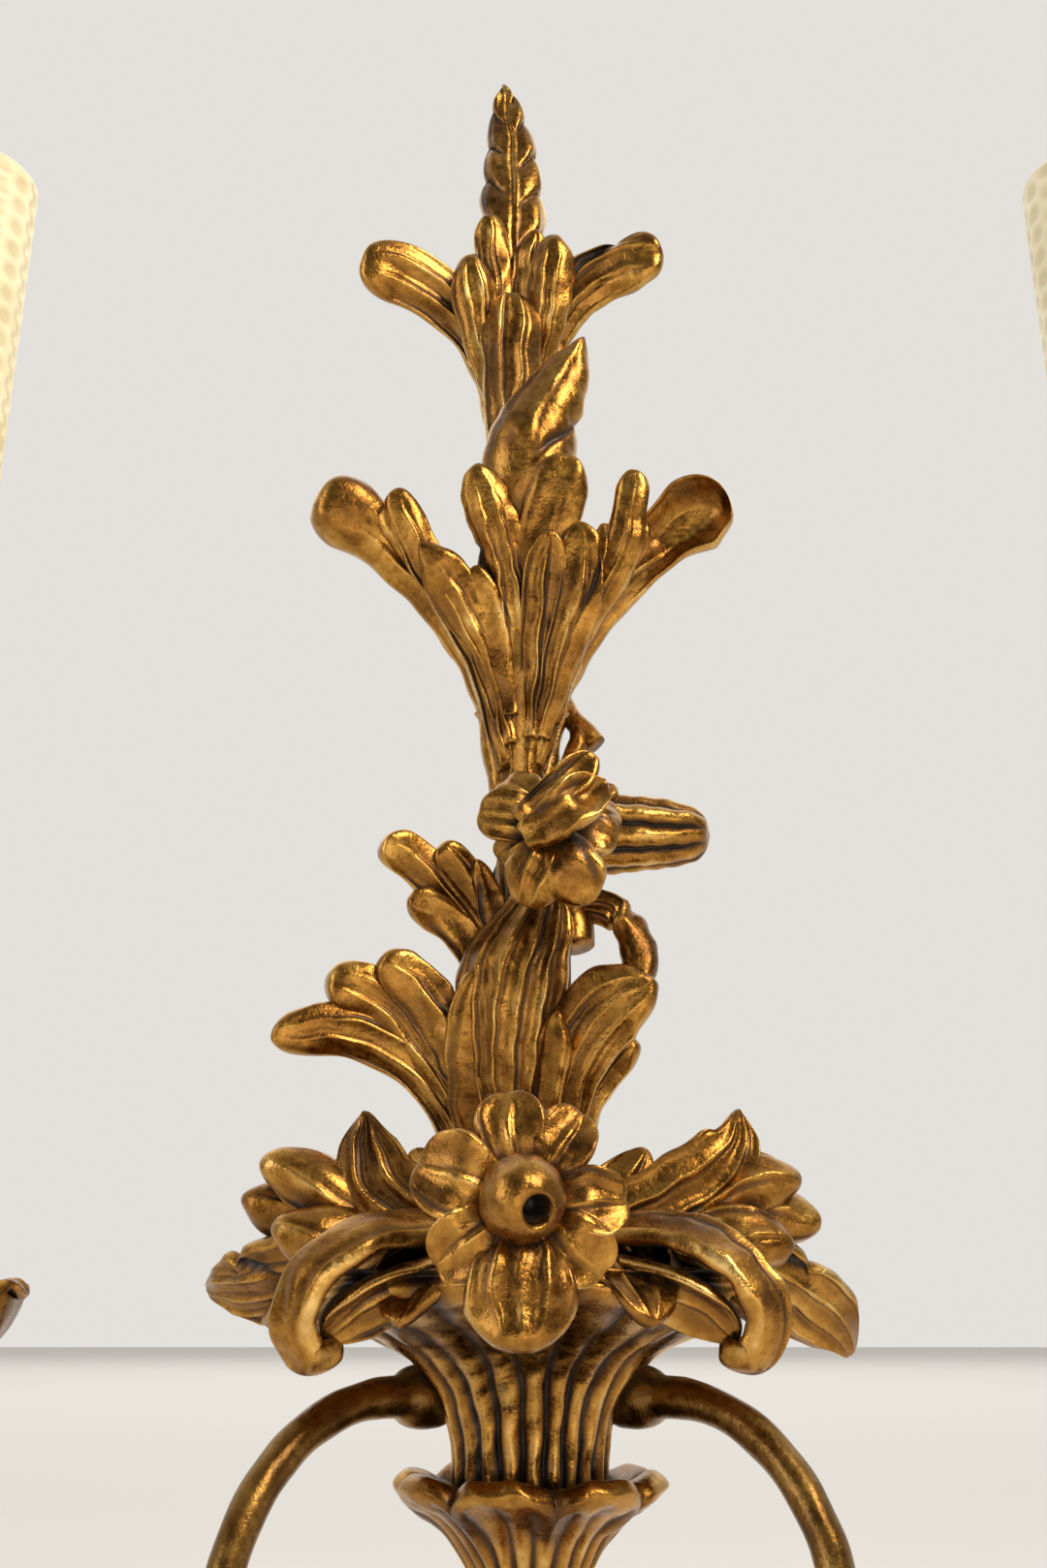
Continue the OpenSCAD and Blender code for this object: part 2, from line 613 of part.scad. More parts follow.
eye_z = -30;
eye_gap = 12;
hanger_front = 12.5;
module hanger_shape(grow = 0) translate([-11 - grow, -hanger_front - grow, eye_z - 12 - grow])
    cube([22 + 2 * grow, 8 + 2 * grow, 24 + 2 * grow]);
module eye_holes() for (s = [-1, 1])
    rod([s * eye_gap / 2, 0, eye_z], [s * eye_gap / 2, -11, eye_z], 0.7 + fit);
module hanger_block() color("peru") difference() {
    hanger_shape();
    stem_core(fit);
    eye_holes();
}
wire_y = -2.2;
eye_r = 1.45;
module screw_eyes() color("dimgray") for (s = [-1, 1]) translate([s * eye_gap / 2, 0, eye_z]) {
    rod([0, -3.9, 0], [0, -10.5, 0], 0.7);
    translate([0, wire_y, 0]) rotate([0, 90, 0]) rotate_extrude() translate([eye_r, 0]) circle(r = 0.5);
}
module hanging_loop() color("dimgray") {
    leg = wire_d / 2 - loop_arch_r - eye_z;
    w = wire_d / 2;
    translate([0, wire_y, eye_z]) {
        for (s = [-1, 1]) translate([s * loop_arch_r, 0, 0]) cylinder(r = w, h = leg);
        translate([0, 0, leg]) rotate([90, 0, 0])
            rotate_extrude(angle = 180) translate([loop_arch_r, 0]) circle(r = w);
        translate([-loop_arch_r, 0, 0]) rotate([0, 90, 0]) cylinder(r = w, h = 2 * loop_arch_r);
        for (s = [-1, 1]) translate([s * loop_arch_r, 0, 0]) sphere(r = w);
    }
}
module leaf_pins() color("tan") for (p = PINS) rod(p[2], p[3], pin_r);

// ---------- arms, pans, sockets and candles ----------

// Each arm is bent in one upright plane: out of the vase, down, round the loop and up.
down = [cos(bend_angle), -sin(bend_angle)];
p1 = [root_run, root_z];
p2 = p1 + [bend_r * sin(bend_angle), -bend_r * (1 - cos(bend_angle))];
p3 = p2 + arm_mid * down;
loop_c = p3 + loop_r * [sin(bend_angle), cos(bend_angle)];
cup_run = loop_c[0] + loop_r;
arm_top = candle_seat - 12.3;
candle_x = root_x + cup_run * cos(arm_turn);
candle_y = -root_off - cup_run * sin(arm_turn);

// The arm's plane, with x as the run outwards and y as the height.
module arm_plane(s) translate([s * root_x, -root_off, 0])
    rotate([0, 0, s > 0 ? -arm_turn : 180 + arm_turn]) rotate([90, 0, 0]) children();
module bend(c, r, from, turn) translate([c[0], c[1], 0]) rotate([0, 0, from])
    rotate_extrude(angle = turn) translate([r, 0]) circle(r = rod_r - 0.05);
module run(a, b) translate([a[0], a[1], 0])
    rotate([0, 0, atan2(b[1] - a[1], b[0] - a[0])]) rotate([0, 90, 0])
        translate([0, 0, -0.3]) cylinder(r = rod_r, h = norm(b - a) + 0.6);
module arm_end(s, grow) arm_plane(s) translate([-8 - grow, root_z, 0]) rotate([0, 90, 0])
    cylinder(r = rod_r + grow, h = 20 + grow);
module arm(s) color("darkgoldenrod") {
    arm_plane(s) {
        run([-7.7, root_z], p1);
        bend([p1[0], p1[1] - bend_r], bend_r, 90 - bend_angle, bend_angle);
        run(p2, p3);
        bend(loop_c, loop_r, 270 - bend_angle, 90 + bend_angle);
        run([cup_run, loop_c[1]], [cup_run, arm_top]);
    }
    translate([s * candle_x, candle_y, arm_top - 1]) cylinder(r = arm_stub_r, h = candle_seat - arm_top - 1);
}

module at_candle(s) translate([s * candle_x, candle_y, candle_seat]) children();
pan_floor = -9;
pan_t = 4;
petal_path = [[8, 0, pan_floor + 2], [18, 0, pan_floor + 2.6], [27, 0, pan_floor + 12],
    [petal_reach - 2, 0, pan_floor + 21], [petal_reach + 1, 0, pan_floor + 17]];
module pan(s) gold() at_candle(s) difference() {
    carved() difference() {
        union() {
            for (a = [0 : 60 : 300]) rotate([0, 0, a + 8]) translate([0, 0, a % 120 / 75])
                leaf(petal_path, [7, 10, 10, 6, 1.5], [[0, 1, 0], [0, 1, 0]], leaf_t - 2, 0.12);
            translate([0, 0, pan_floor]) cylinder(r1 = 10, r2 = 14, h = pan_t, $fn = 24);
        }
        translate([0, 0, pan_floor + pan_t]) cylinder(r = socket_out + seat_gap, h = 60, $fn = 32);
    }
    translate([0, 0, pan_floor - 1]) cylinder(r = arm_stub_r + fit, h = 20);
}
module socket(s) gold() at_candle(s) difference() {
    rotate_extrude() polygon([[0, pan_floor + pan_t], [socket_out - 3, pan_floor + pan_t],
        [socket_out - 1, pan_floor + pan_t + 3], [socket_out, socket_depth * 0.5],
        [socket_out, socket_depth], [socket_r, socket_depth], [socket_r, 0], [0, 0]]);
    translate([0, 0, pan_floor - 1]) cylinder(r = arm_stub_r + fit, h = -pan_floor - 0.5);
}
module pan_nuts() color("darkgoldenrod") for (s = [-1, 1]) at_candle(s)
    difference() {
        translate([0, 0, pan_floor - 3]) cylinder(r = 7, h = 3);
        translate([0, 0, pan_floor - 4]) cylinder(r = arm_stub_r + fit, h = 5);
    }
module candle(s) color("ivory") at_candle(s) {
    translate([0, 0, seat_gap]) cylinder(r = candle_r, h = candle_l - 4 - seat_gap);
    translate([0, 0, candle_l - 4]) cylinder(r1 = candle_r, r2 = candle_r - 3, h = 4);
    translate([0, 0, candle_l - 1]) cylinder(r = wick_d / 2, h = 9);
}

stem();
crown_center_leaf();
crown_inner_side(-1, "crown_inner_leaf_left");  // crown_inner_leaf_left
crown_inner_side(1, "crown_inner_leaf_right");  // crown_inner_leaf_right
crown_curl_side(-1, "crown_curl_left");  // crown_curl_left
crown_curl_side(1, "crown_curl_right");  // crown_curl_right
crown_bud_side(-1, "crown_bud_left");  // crown_bud_left
crown_bud_side(1, "crown_bud_right");  // crown_bud_right
crown_sheath();
flame_leaf();
calyx_center_leaf();
calyx_curl_side(-1, "calyx_curl_left");  // calyx_curl_left
calyx_curl_side(1, "calyx_curl_right");  // calyx_curl_right
calyx_lobe_side(-1, "calyx_lobe_left");  // calyx_lobe_left
calyx_lobe_side(1, "calyx_lobe_right");  // calyx_lobe_right
calyx_front_side(-1, "calyx_front_leaf_left");  // calyx_front_leaf_left
calyx_front_side(1, "calyx_front_leaf_right");  // calyx_front_leaf_right
calyx_side_leaf_right();
stem_flower();
stem_bud_right();
upper_left_side();  // stem_leaf_upper_left
lower_left_side();  // stem_leaf_lower_left
stem_sheath();
lower_right_side();  // stem_leaf_lower_right
tendril();
twig();
collar_boss();
collar_flower();
scroll_side(-1, "collar_scroll_left");  // collar_scroll_left
scroll_side(1, "collar_scroll_right");  // collar_scroll_right
side_leaf_side(-1, "collar_side_leaf_left");  // collar_side_leaf_left
side_leaf_side(1, "collar_side_leaf_right");  // collar_side_leaf_right
collar_bud_side(-1, "collar_bud_left");  // collar_bud_left
collar_bud_side(1, "collar_bud_right");  // collar_bud_right
upright_side(-1, "collar_upright_leaf_left");  // collar_upright_leaf_left
upright_side(1, "collar_upright_leaf_right");  // collar_upright_leaf_right
collar_back_leaves();
vase();
tulip_cup();
knop();
tail();
tail_leaves();
center_dowel();
wall_block();
block_screws();
leaf_pins();
hanger_block();
screw_eyes();
hanging_loop();
arm(-1);  // arm_left
arm(1);  // arm_right
pan(-1);  // pan_left
pan(1);  // pan_right
socket(-1);  // socket_left
socket(1);  // socket_right
pan_nuts();
candle(-1);  // candle_left
candle(1);  // candle_right
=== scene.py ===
import math
import bpy
import numpy as np
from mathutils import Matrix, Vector


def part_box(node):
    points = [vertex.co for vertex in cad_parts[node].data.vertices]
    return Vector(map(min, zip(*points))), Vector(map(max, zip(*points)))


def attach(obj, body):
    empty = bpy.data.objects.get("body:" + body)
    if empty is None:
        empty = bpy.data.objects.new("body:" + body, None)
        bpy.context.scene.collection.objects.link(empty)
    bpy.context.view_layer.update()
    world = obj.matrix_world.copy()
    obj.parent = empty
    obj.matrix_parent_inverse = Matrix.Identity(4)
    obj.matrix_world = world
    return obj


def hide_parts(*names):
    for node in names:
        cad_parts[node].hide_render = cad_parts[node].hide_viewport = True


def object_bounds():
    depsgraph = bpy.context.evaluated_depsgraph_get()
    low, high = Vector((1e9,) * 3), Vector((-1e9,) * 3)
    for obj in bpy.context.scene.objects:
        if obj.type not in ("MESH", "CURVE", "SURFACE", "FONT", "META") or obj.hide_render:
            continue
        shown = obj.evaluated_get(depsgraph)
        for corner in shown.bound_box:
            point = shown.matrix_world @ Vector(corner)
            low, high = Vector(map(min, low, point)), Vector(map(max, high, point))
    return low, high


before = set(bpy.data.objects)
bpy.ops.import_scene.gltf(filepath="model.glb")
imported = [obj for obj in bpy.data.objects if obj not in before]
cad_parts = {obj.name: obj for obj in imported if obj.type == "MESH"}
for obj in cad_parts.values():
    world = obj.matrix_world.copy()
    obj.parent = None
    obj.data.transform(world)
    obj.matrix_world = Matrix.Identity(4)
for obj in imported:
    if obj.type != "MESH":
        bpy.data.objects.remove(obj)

cad_box = [list(v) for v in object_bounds()]

# ---------- the stem ----------
# A limewood rod that every leaf grows from, laid with gesso and gold leaf. It is slim where it
# shows between the leaves, has a flat back, and its foot is tenoned into the collar.

SCONCE = "sconce"
ACROSS = (1, 0, 0)


def linear(hex_colour):
    """An sRGB hex colour as linear red, green, blue and alpha."""
    c = np.array([int(hex_colour[i : i + 2], 16) for i in (1, 3, 5)]) / 255
    c = np.where(c <= 0.04045, c / 12.92, ((c + 0.055) / 1.055) ** 2.4)
    return (*c, 1.0)


def new_material(name):
    """A new node material, with its node tree and its main shader."""
    material = bpy.data.materials.new(name)
    material.use_nodes = True
    tree = material.node_tree
    return material, tree, tree.nodes["Principled BSDF"]


def add(tree, kind, settings=None, **sockets):
    """Adds a node. A socket's value is a number, a colour, or another node's output to link; i0, i1
    and so on name a socket by its place. stops are a colour ramp's (place, hex colour) pairs."""
    node = tree.nodes.new(kind)
    for key, value in (settings or {}).items():
        if key == "stops":
            ends = node.color_ramp.elements
            for i, (place, colour) in enumerate(value):
                end = ends[i] if i < 2 else ends.new(place)
                end.position, end.color = place, linear(colour)
        else:
            setattr(node, key, value)
    for key, value in sockets.items():
        name = int(key[1:]) if key[1:].isdigit() else key.replace("_", " ")
        if isinstance(value, bpy.types.NodeSocket):
            tree.links.new(value, node.inputs[name])
        else:
            node.inputs[name].default_value = value
    return node


def gilding(name, golds, wax, shine):
    """Gold leaf over gesso, toned with brown wax. The mesh's "cut" attribute is 1 in the bottom of a
    gouge cut, where the wax stays thick and matt, and below 0 on a ridge or edge rubbed back to bright
    leaf, which is also a painted highlight. Ambient occlusion darkens the gold towards the wax colour
    where parts crowd each other: painted shade. Cloudy toning is 14 mm across, flecks 2.2 mm, and the
    pits in the gesso 0.7 mm."""
    material, tree, shader = new_material(name)
    where = add(tree, "ShaderNodeTexCoord").outputs["Object"]
    tone, fleck, pits = (
        add(tree, "ShaderNodeTexNoise", Vector=where, Scale=1000 / mm, Detail=detail,
            Roughness=rough).outputs["Fac"]
        for mm, detail, rough in ((14, 4, 0.55), (2.2, 4, 0.65), (0.7, 2, 0.5)))
    cut = add(tree, "ShaderNodeAttribute", {"attribute_name": "cut"}).outputs["Fac"]
    # Ambient occlusion within 12 mm, mapped so that crowded places darken towards the wax colour:
    # painted shade.
    air = add(tree, "ShaderNodeAmbientOcclusion", {"samples": 6}, Distance=0.012).outputs["AO"]
    painted_shade = add(tree, "ShaderNodeMapRange", i0=air, i1=0.72, i2=0.12).outputs[0]
    # Wax in the gouges plus the painted shade, then stray flecks of wax.
    wax_and_painted_shade = add(tree, "ShaderNodeMath", {"operation": "MULTIPLY_ADD"}, i0=cut, i1=1.0,
               i2=painted_shade).outputs[0]
    stray = add(tree, "ShaderNodeMapRange", i0=fleck, i1=0.35, i2=0.75, i3=-0.2, i4=0.3).outputs[0]
    wax_and_painted_shade = add(tree, "ShaderNodeMath", {"operation": "ADD"}, i0=wax_and_painted_shade, i1=stray).outputs[0]
    wax_and_painted_shade = add(tree, "ShaderNodeMapRange", i0=wax_and_painted_shade, i1=0.3, i2=1.15).outputs[0]
    # Negative cut on ridges and edges lifts the gold towards its light stops: rubbed wear and a
    # painted highlight.
    tone_and_sheen = add(tree, "ShaderNodeMath", {"operation": "MULTIPLY_ADD"}, i0=tone, i1=0.7,
                i2=add(tree, "ShaderNodeMath", {"operation": "MULTIPLY_ADD"}, i0=fleck, i1=0.3,
                       i2=add(tree, "ShaderNodeMath", {"operation": "MULTIPLY"}, i0=cut,
                              i1=-0.26).outputs[0]).outputs[0]).outputs[0]
    gold = add(tree, "ShaderNodeValToRGB", {"stops": golds}, Fac=tone_and_sheen).outputs["Color"]
    colour = add(tree, "ShaderNodeMix", {"data_type": "RGBA"}, i0=wax_and_painted_shade, i6=gold, i7=linear(wax))
    tree.links.new(colour.outputs[2], shader.inputs["Base Color"])
    metal = add(tree, "ShaderNodeMapRange", i0=wax_and_painted_shade, i1=0.0, i2=1.0, i3=1.0, i4=0.3).outputs[0]
    tree.links.new(metal, shader.inputs["Metallic"])
    satin = add(tree, "ShaderNodeMapRange", i0=fleck, i1=0.3, i2=0.7, i3=shine - 0.05,
                i4=shine + 0.13).outputs[0]
    rough = add(tree, "ShaderNodeMath", {"operation": "MULTIPLY_ADD"}, i0=wax_and_painted_shade, i1=0.3,
                i2=satin).outputs[0]
    tree.links.new(rough, shader.inputs["Roughness"])
    gesso = add(tree, "ShaderNodeBump", Height=fleck, Strength=0.5, Distance=0.0005)
    pitted = add(tree, "ShaderNodeBump", Height=pits, Strength=0.35, Distance=0.00018,
                 Normal=gesso.outputs[0])
    tree.links.new(pitted.outputs[0], shader.inputs["Normal"])
    shader.inputs["Coat Weight"].default_value = 0.2
    shader.inputs["Coat Roughness"].default_value = 0.3
    return material


# Water gilding on carved wood: a full satin shine, yellow gold under brown toning.
GOLD_LEAF = gilding("toned_gold_leaf_on_gesso",
                    ((0.28, "#59380f"), (0.45, "#875b20"), (0.58, "#ae8036"), (0.78, "#dcb874")),
                    "#140a04", 0.25)


def through(values, t):
    """A Catmull-Rom curve through evenly spaced values, read at t from 0 to 1."""
    v = np.atleast_1d(np.asarray(values, float))
    v = v.reshape(len(v), -1)
    if len(v) == 1:
        return v[0] + 0 * t[..., None]
    x = np.clip(t, 0, 1) * (len(v) - 1)
    i = np.minimum(x.astype(int), len(v) - 2)
    f = (x - i)[..., None]
    a, b, c, d = (v[np.clip(i + k, 0, len(v) - 1)] for k in (-1, 0, 1, 2))
    return 0.5 * (2 * b + (c - a) * f + (2 * a - 5 * b + 4 * c - d) * f**2
                  + (3 * b - a - 3 * c + d) * f**3)


def smooth(x, low, high):
    """A smooth step from 0 at low to 1 at high: 3 f^2 - 2 f^3."""
    f = np.clip((x - low) / (high - low), 0, 1)
    return f * f * (3 - 2 * f)


def unit(v):
    """Vectors scaled to a length of 1."""
    return v / np.maximum(np.linalg.norm(v, axis=-1, keepdims=True), 1e-9)


def hand_cut(co, amount, seed=0):
    """Small unevenness from seven waves, 5 to 14 mm long, that cross in all directions."""
    draw = np.random.default_rng(seed)
    ways = unit(draw.normal(size=(7, 3))) * (2 * np.pi / draw.uniform(5, 14, (7, 1)))
    wave = np.sin(co @ ways.T + draw.uniform(0, 6.28, 7))
    return co + amount * 0.5 * np.stack([wave[..., i::3].sum(-1) for i in range(3)], -1)


def closed(rings, cut):
    """Rings of points as one closed shell: quads from ring to ring, a fan to a pole at each end,
    all facing outwards. Returns points, quads, triangles and the cut depth at each point."""
    m, n = rings.shape[:2]
    co = np.concatenate([rings.reshape(-1, 3), rings[[0, -1]].mean(1)])
    cut = np.concatenate([np.broadcast_to(cut, (m, n)).reshape(-1), [0.5, 0.0]])
    i, k = np.arange(m - 1)[:, None] * n, np.arange(n)[None, :]
    after = (k + 1) % n
    quads = np.stack([i + k, i + after, i + n + after, i + n + k], -1).reshape(-1, 4)
    k, after, last = k[0], after[0], (m - 1) * n
    fans = np.concatenate([np.stack([after, k, 0 * k + m * n], -1),
                           np.stack([last + k, last + after, 0 * k + m * n + 1], -1)])
    a, b, c, d = (co[quads[:, j]] for j in range(4))
    if (a * np.cross(b, c)).sum() + (a * np.cross(c, d)).sum() < 0:
        quads, fans = quads[:, ::-1], fans[:, ::-1]
    return co, quads, fans, cut


def piece(name, shells, material=GOLD_LEAF, body=SCONCE, stands_for=True):
    """Shells in millimetres joined into one object that stands for the CAD node of its name."""
    first = np.cumsum([0] + [len(shell[0]) for shell in shells[:-1]])
    faces = [f for shell, n in zip(shells, first) for part in shell[1:3] for f in (part + n).tolist()]
    mesh = bpy.data.meshes.new(name)
    mesh.from_pydata((np.concatenate([s[0] for s in shells]) / 1000).tolist(), [], faces)
    cut = np.concatenate([shell[3] for shell in shells]).astype(np.float32)
    mesh.attributes.new("cut", "FLOAT", "POINT").data.foreach_set("value", cut)
    mesh.polygons.foreach_set("use_smooth", np.ones(len(faces), bool))
    mesh.materials.append(material)
    made = bpy.data.objects.new(name, mesh)
    bpy.context.scene.collection.objects.link(made)
    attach(made, body)
    if stands_for:
        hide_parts(name)
    return made


def corners(node):
    """A CAD node's lowest and highest corners in millimetres."""
    return [np.array(v) * 1000 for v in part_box(node)]


def reeded(z, r, reeds, depth, seed=0, around=96, along_n=120, wander=0.06):
    """A turned form: radius r through heights z, less depth in the V grooves between half round
    reeds, which wander a little. Returns rings round the Z axis and how deep each point is cut."""
    v = np.linspace(0, 1, along_n)
    zz, rr, dd = (through(x, v) for x in (z, r, depth))
    a = np.linspace(0, 2 * np.pi, around, endpoint=False)[None, :]
    bend = a + wander * np.sin(3 * a + 2 * v[:, None] + seed)
    valley = 1 - np.abs(np.sin(reeds * bend / 2)) ** 0.7
    radius = np.maximum(rr - dd * valley, 0.05)
    rings = np.stack([radius * np.cos(a), radius * np.sin(a), zz + 0 * a], -1)
    # Grooves hold wax. The reed crests go negative, which gives lighter gold: rubbed wear and a
    # painted highlight.
    cut = (1.2 * valley - 0.35 * (1 - valley) ** 4) * np.clip(dd / 1.2, 0, 1)
    return rings, cut


stem_low, stem_high = corners("stem")
flat_back, stem_y, stem_lean = stem_high[1], -15.0, 0.0192
crown_at = np.array([-5, stem_y, stem_high[2] - 34])
calyx_at = np.array([-2, stem_y, stem_high[2] - 159])
middle_at = np.array([-3, stem_y, stem_high[2] - 184])
foot_at = np.array([0, stem_y, stem_high[2] - 259])

rings, cut = reeded([stem_low[2], -102, -80, -50, -20, 0, 20, 50, 85, 110, 135, 150, 160, 170, 178],
                    [6, 11, 10.5, 8.6, 7.6, 7.4, 8, 9.6, 8.5, 7.6, 8, 9.5, 6, 4, 0.5], 13,
                    [0, 0.8, 0.9, 0.7, 0.5, 0.5, 1.1, 1.3, 0.8, 0.4, 0.8, 1, 0.4, 0.2, 0],
                    around=156, along_n=180)
rings = rings + np.stack([-1.5 - stem_lean * rings[..., 2], stem_y + 0 * cut, 0 * cut], -1)
rings = hand_cut(rings, 0.3, 5)
rings[..., 1] = np.minimum(rings[..., 1], flat_back)
piece("stem", [closed(rings, cut)])

# ---------- the crown ----------
# A tall leaf with scalloped edges stands in a whorl of spoon leaves, with a short fluted sheath in
# front. Each is carved apart from limewood, glued and pinned to the top of the stem.


def lean(s, angle, out=0.0):
    """The way a leaf's width runs when the leaf leans outwards on side s by an angle."""
    a = math.radians(angle)
    return (math.cos(a), out, -s * math.sin(a))


def frame_along(rib, side, t):
    """A leaf's centre, width direction and face direction at t."""
    ahead = unit(through(rib, t + 0.01) - through(rib, t - 0.01))
    wide = (1 - t)[..., None] * np.array(side[0], float) + t[..., None] * np.array(side[1], float)
    across = unit(wide - (wide * ahead).sum(-1, keepdims=True) * ahead)
    return through(rib, t), across, np.cross(across, ahead)


def leaf(at, rib, half, side=(ACROSS, ACROSS), thick=(7, 6), cup=(-0.1, 0.1), flutes=3, depth=1.3,
         fade=(0.0, 0.8), point=0.4, nicks=(), scallops=0, tooth=0.0, bowl=0.0, vein=0.0,
         blunt=4, uneven=0.35, seed=0, across_n=41, along_n=60):
    """A carved leaf as a closed shell, over s from -1 to 1 across and t from 0 to 1 along its rib.
    Its half width follows half and closes at the tip as a half circle, or drawn out by point. Its
    section is a flat oval, cupped by cup times the width. Gouge hollows run along it between
    ridges from fade[0] to fade[1]. A nick (t, side, depth, width) is a notch in the outline with a
    V cut running in from it. Scallops are round lobes on both edges, each with its own V cut."""
    draw = np.random.default_rng(seed + 11)
    rib = np.array(rib, float)
    s = np.linspace(-1, 1, across_n)[:, None]
    s = 0.75 * s + 0.25 * np.sin(np.pi / 2 * s)
    t = 1 - (1 - np.linspace(0, 1, along_n + 1)[:-1]) ** 1.8
    here, across, face = frame_along(rib, side, t)
    last_mm = np.linalg.norm(np.diff(through(rib, np.array([0.9, 1.0])), axis=0))
    end = min(half[-1] * (1 + point) / last_mm * 0.1, 0.6)
    x = np.clip((t - 1 + end) / end, 0, 1)
    w = np.maximum(through(half, t)[:, 0], 0.5) * (1 - x ** (2 - 0.5 * point)) ** (0.5 + 0.4 * point)
    h = through(thick, t)[:, 0] / 2 * (1 - x**blunt) ** 0.5
    w, h, tt = w[None, :] + 0 * s, h[None, :] + 0 * s, t[None, :] + 0 * s
    rim = (1 - np.abs(s) ** 3.5) ** 0.5
    inner = smooth(1 - np.abs(s), 0.0, 0.18)
    place = flutes * (s + 1) / 2 + 0.07 * np.sin(5 * tt + 3 * s + draw.uniform(0, 6))
    part = place - np.floor(place)
    hollow = 1 - (2 * part - 1) ** 2
    deep = draw.uniform(0.6, 1.3, flutes + 2)[np.clip(place.astype(int), 0, flutes + 1)]
    reach = smooth(tt, fade[0], fade[0] + 0.15) * (1 - smooth(tt, fade[1] - 0.2, fade[1] + 0.12))
    groove = np.exp(-(((part - 0.16) / 0.09) ** 2)) * deep
    relief = -depth * reach * (hollow * deep + 0.5 * groove)
    # Groove and hollow bottoms hold wax. The ridges between hollows go negative, which gives lighter
    # gold: rubbed wear and a painted highlight.
    dark = reach * (0.75 * groove + 0.35 * hollow**4 * deep - 0.45 * (1 - hollow) ** 3)
    for at_t, way, bite, wide in nicks:
        edge = way * s
        w = w * (1 - bite * np.exp(-np.abs(tt - at_t) / wide) * smooth(edge, 0.2, 1.0))
        line = np.exp(-(((tt - at_t + 0.3 * (1 - edge)) / (0.5 * wide)) ** 2)) * smooth(edge, 0, 0.5)
        relief = relief - 1.5 * line
        dark = dark + line
    if scallops:
        lobe = scallops * (tt + 0.1 * (1 - np.abs(s))) + 0.4 * (s > 0)
        lobe = (lobe - np.floor(lobe)) ** 0.8
        bulge = np.sqrt(np.clip(1 - (2 * lobe - 1) ** 2, 0, 1))
        window = smooth(tt, 0.1, 0.2)
        w = w * (1 - tooth * (1 - bulge) * np.abs(s) ** 1.5 * window)
        line = (1 - bulge) ** 2 * window * smooth(np.abs(s), 0.1, 0.4)
        relief = relief - 1.6 * line + 0.9 * bulge * window * smooth(np.abs(s), 0.2, 0.7)
        dark = dark + 0.9 * line
    relief = relief - vein * np.exp(-((s / 0.08) ** 2)) * (1 - smooth(tt, 0.85, 0.95))
    dark = dark + 0.5 * vein * np.exp(-((s / 0.08) ** 2)) * (1 - smooth(tt, 0.85, 0.95))
    relief = relief - bowl * (1 - s**2) * smooth(tt, 0.45, 0.8) * (1 - x[None, :] ** 3)
    # The outer rim of the leaf is made lighter as well: rubbed edge and painted highlight.
    dark = np.clip(dark - 0.3 * smooth(np.abs(s), 0.85, 1.0), -0.6, 1)
    bow = through(cup, t)[:, 0][None, :] * w * (s**2 - 0.5)
    flat = here[None] + across[None] * (w * s)[..., None]
    relief = np.maximum(relief * inner, -1.5 * h * rim - 0.3 * (bowl > 0))
    front = flat + face[None] * (bow + h * rim + relief)[..., None]
    back = flat + face[None] * (bow - h * rim)[..., None]
    under = face[None] * np.minimum(relief + 1.5 * h * rim, 0)[..., None]
    rings = np.concatenate([front, (back + under)[-2:0:-1]], 0).transpose(1, 0, 2)
    cut = np.concatenate([dark, 0.3 + 0 * dark[1:-1]], 0).T
    return closed(hand_cut(rings, uneven, seed) + at, cut)


piece("crown_center_leaf", [
    leaf(crown_at, [[0, -5, 8], [0, -8, 34], [0, -9, 60], [-1, -9, 84], [-3, -9, 103]],
         [5, 10, 10.4, 7.4, 2.6], thick=(8, 8, 6), cup=(-0.3, -0.15), flutes=2, depth=0.8,
         fade=(0, 0.9), point=1.4, scallops=7, tooth=0.42, vein=0.9, seed=1, along_n=160)])
piece("crown_sheath", [
    leaf(crown_at, [[0, -3, -62], [0, -6, -34], [0, -12, -12], [0, -16, 4], [0, -17, 17]],
         [6, 7, 8.4, 9.2, 8.4], thick=(8, 7), cup=(-0.55, -0.4), flutes=3, depth=1.4,
         fade=(0.1, 0.97), point=0, seed=2, along_n=80)])
for s, node in ((-1, "crown_curl_left"), (1, "crown_curl_right")):
    up = 4 if s > 0 else 0
    piece(node, [
        leaf(crown_at, [[s * 2, -2, -30], [s * 5, -3, -6], [s * 11, -6, 12], [s * 21, -10, 22 + up],
                        [s * 34, -15, 27 + up], [s * 45, -18, 26 + up]],
             [4, 5.5, 7.5, 9, 9.6, 8.8], (ACROSS, lean(s, 55)), thick=(7, 7, 9), cup=(-0.1, 0.1),
             flutes=3, depth=2.0, fade=(0.25, 0.84), nicks=[(0.78, -1, 0.5, 0.06)] if s > 0 else (),
             blunt=2.5, point=0, seed=3 + s, along_n=90)])
for s, node in ((-1, "crown_bud_left"), (1, "crown_bud_right")):
    piece(node, [
        leaf(crown_at, [[s * 4, -6, -14], [s * 8, -10, 2], [s * 11, -15, 18],
                        [s * 13, -18, 31 if s < 0 else 38]],
             [3.5, 5, 7, 6.2], (ACROSS, lean(s, 24)), thick=(6, 8), cup=(-0.2, -0.3), flutes=3,
             depth=1.5, fade=(0.1, 0.85), blunt=2.5, seed=6 + s)])
for s, node in ((-1, "crown_inner_leaf_left"), (1, "crown_inner_leaf_right")):
    piece(node, [
        leaf(crown_at, [[s * 4, -7, 6], [s * 5, -12, 24], [s * 7, -15, 45 - 3 * s]],
             [4, 5.6, 4.6], (ACROSS, lean(s, 10)), thick=(6, 6), cup=(-0.2, -0.2), flutes=2,
             depth=1.2, fade=(0.1, 0.85), point=0.3, seed=9 + s)])

# ---------- the calyx ----------
# A fluted trumpet of spoon leaves round the stem. The two outer leaves roll over into a smooth
# bulb, the ones inside end as narrow fingers, and the leaf in front parts into two lobes.

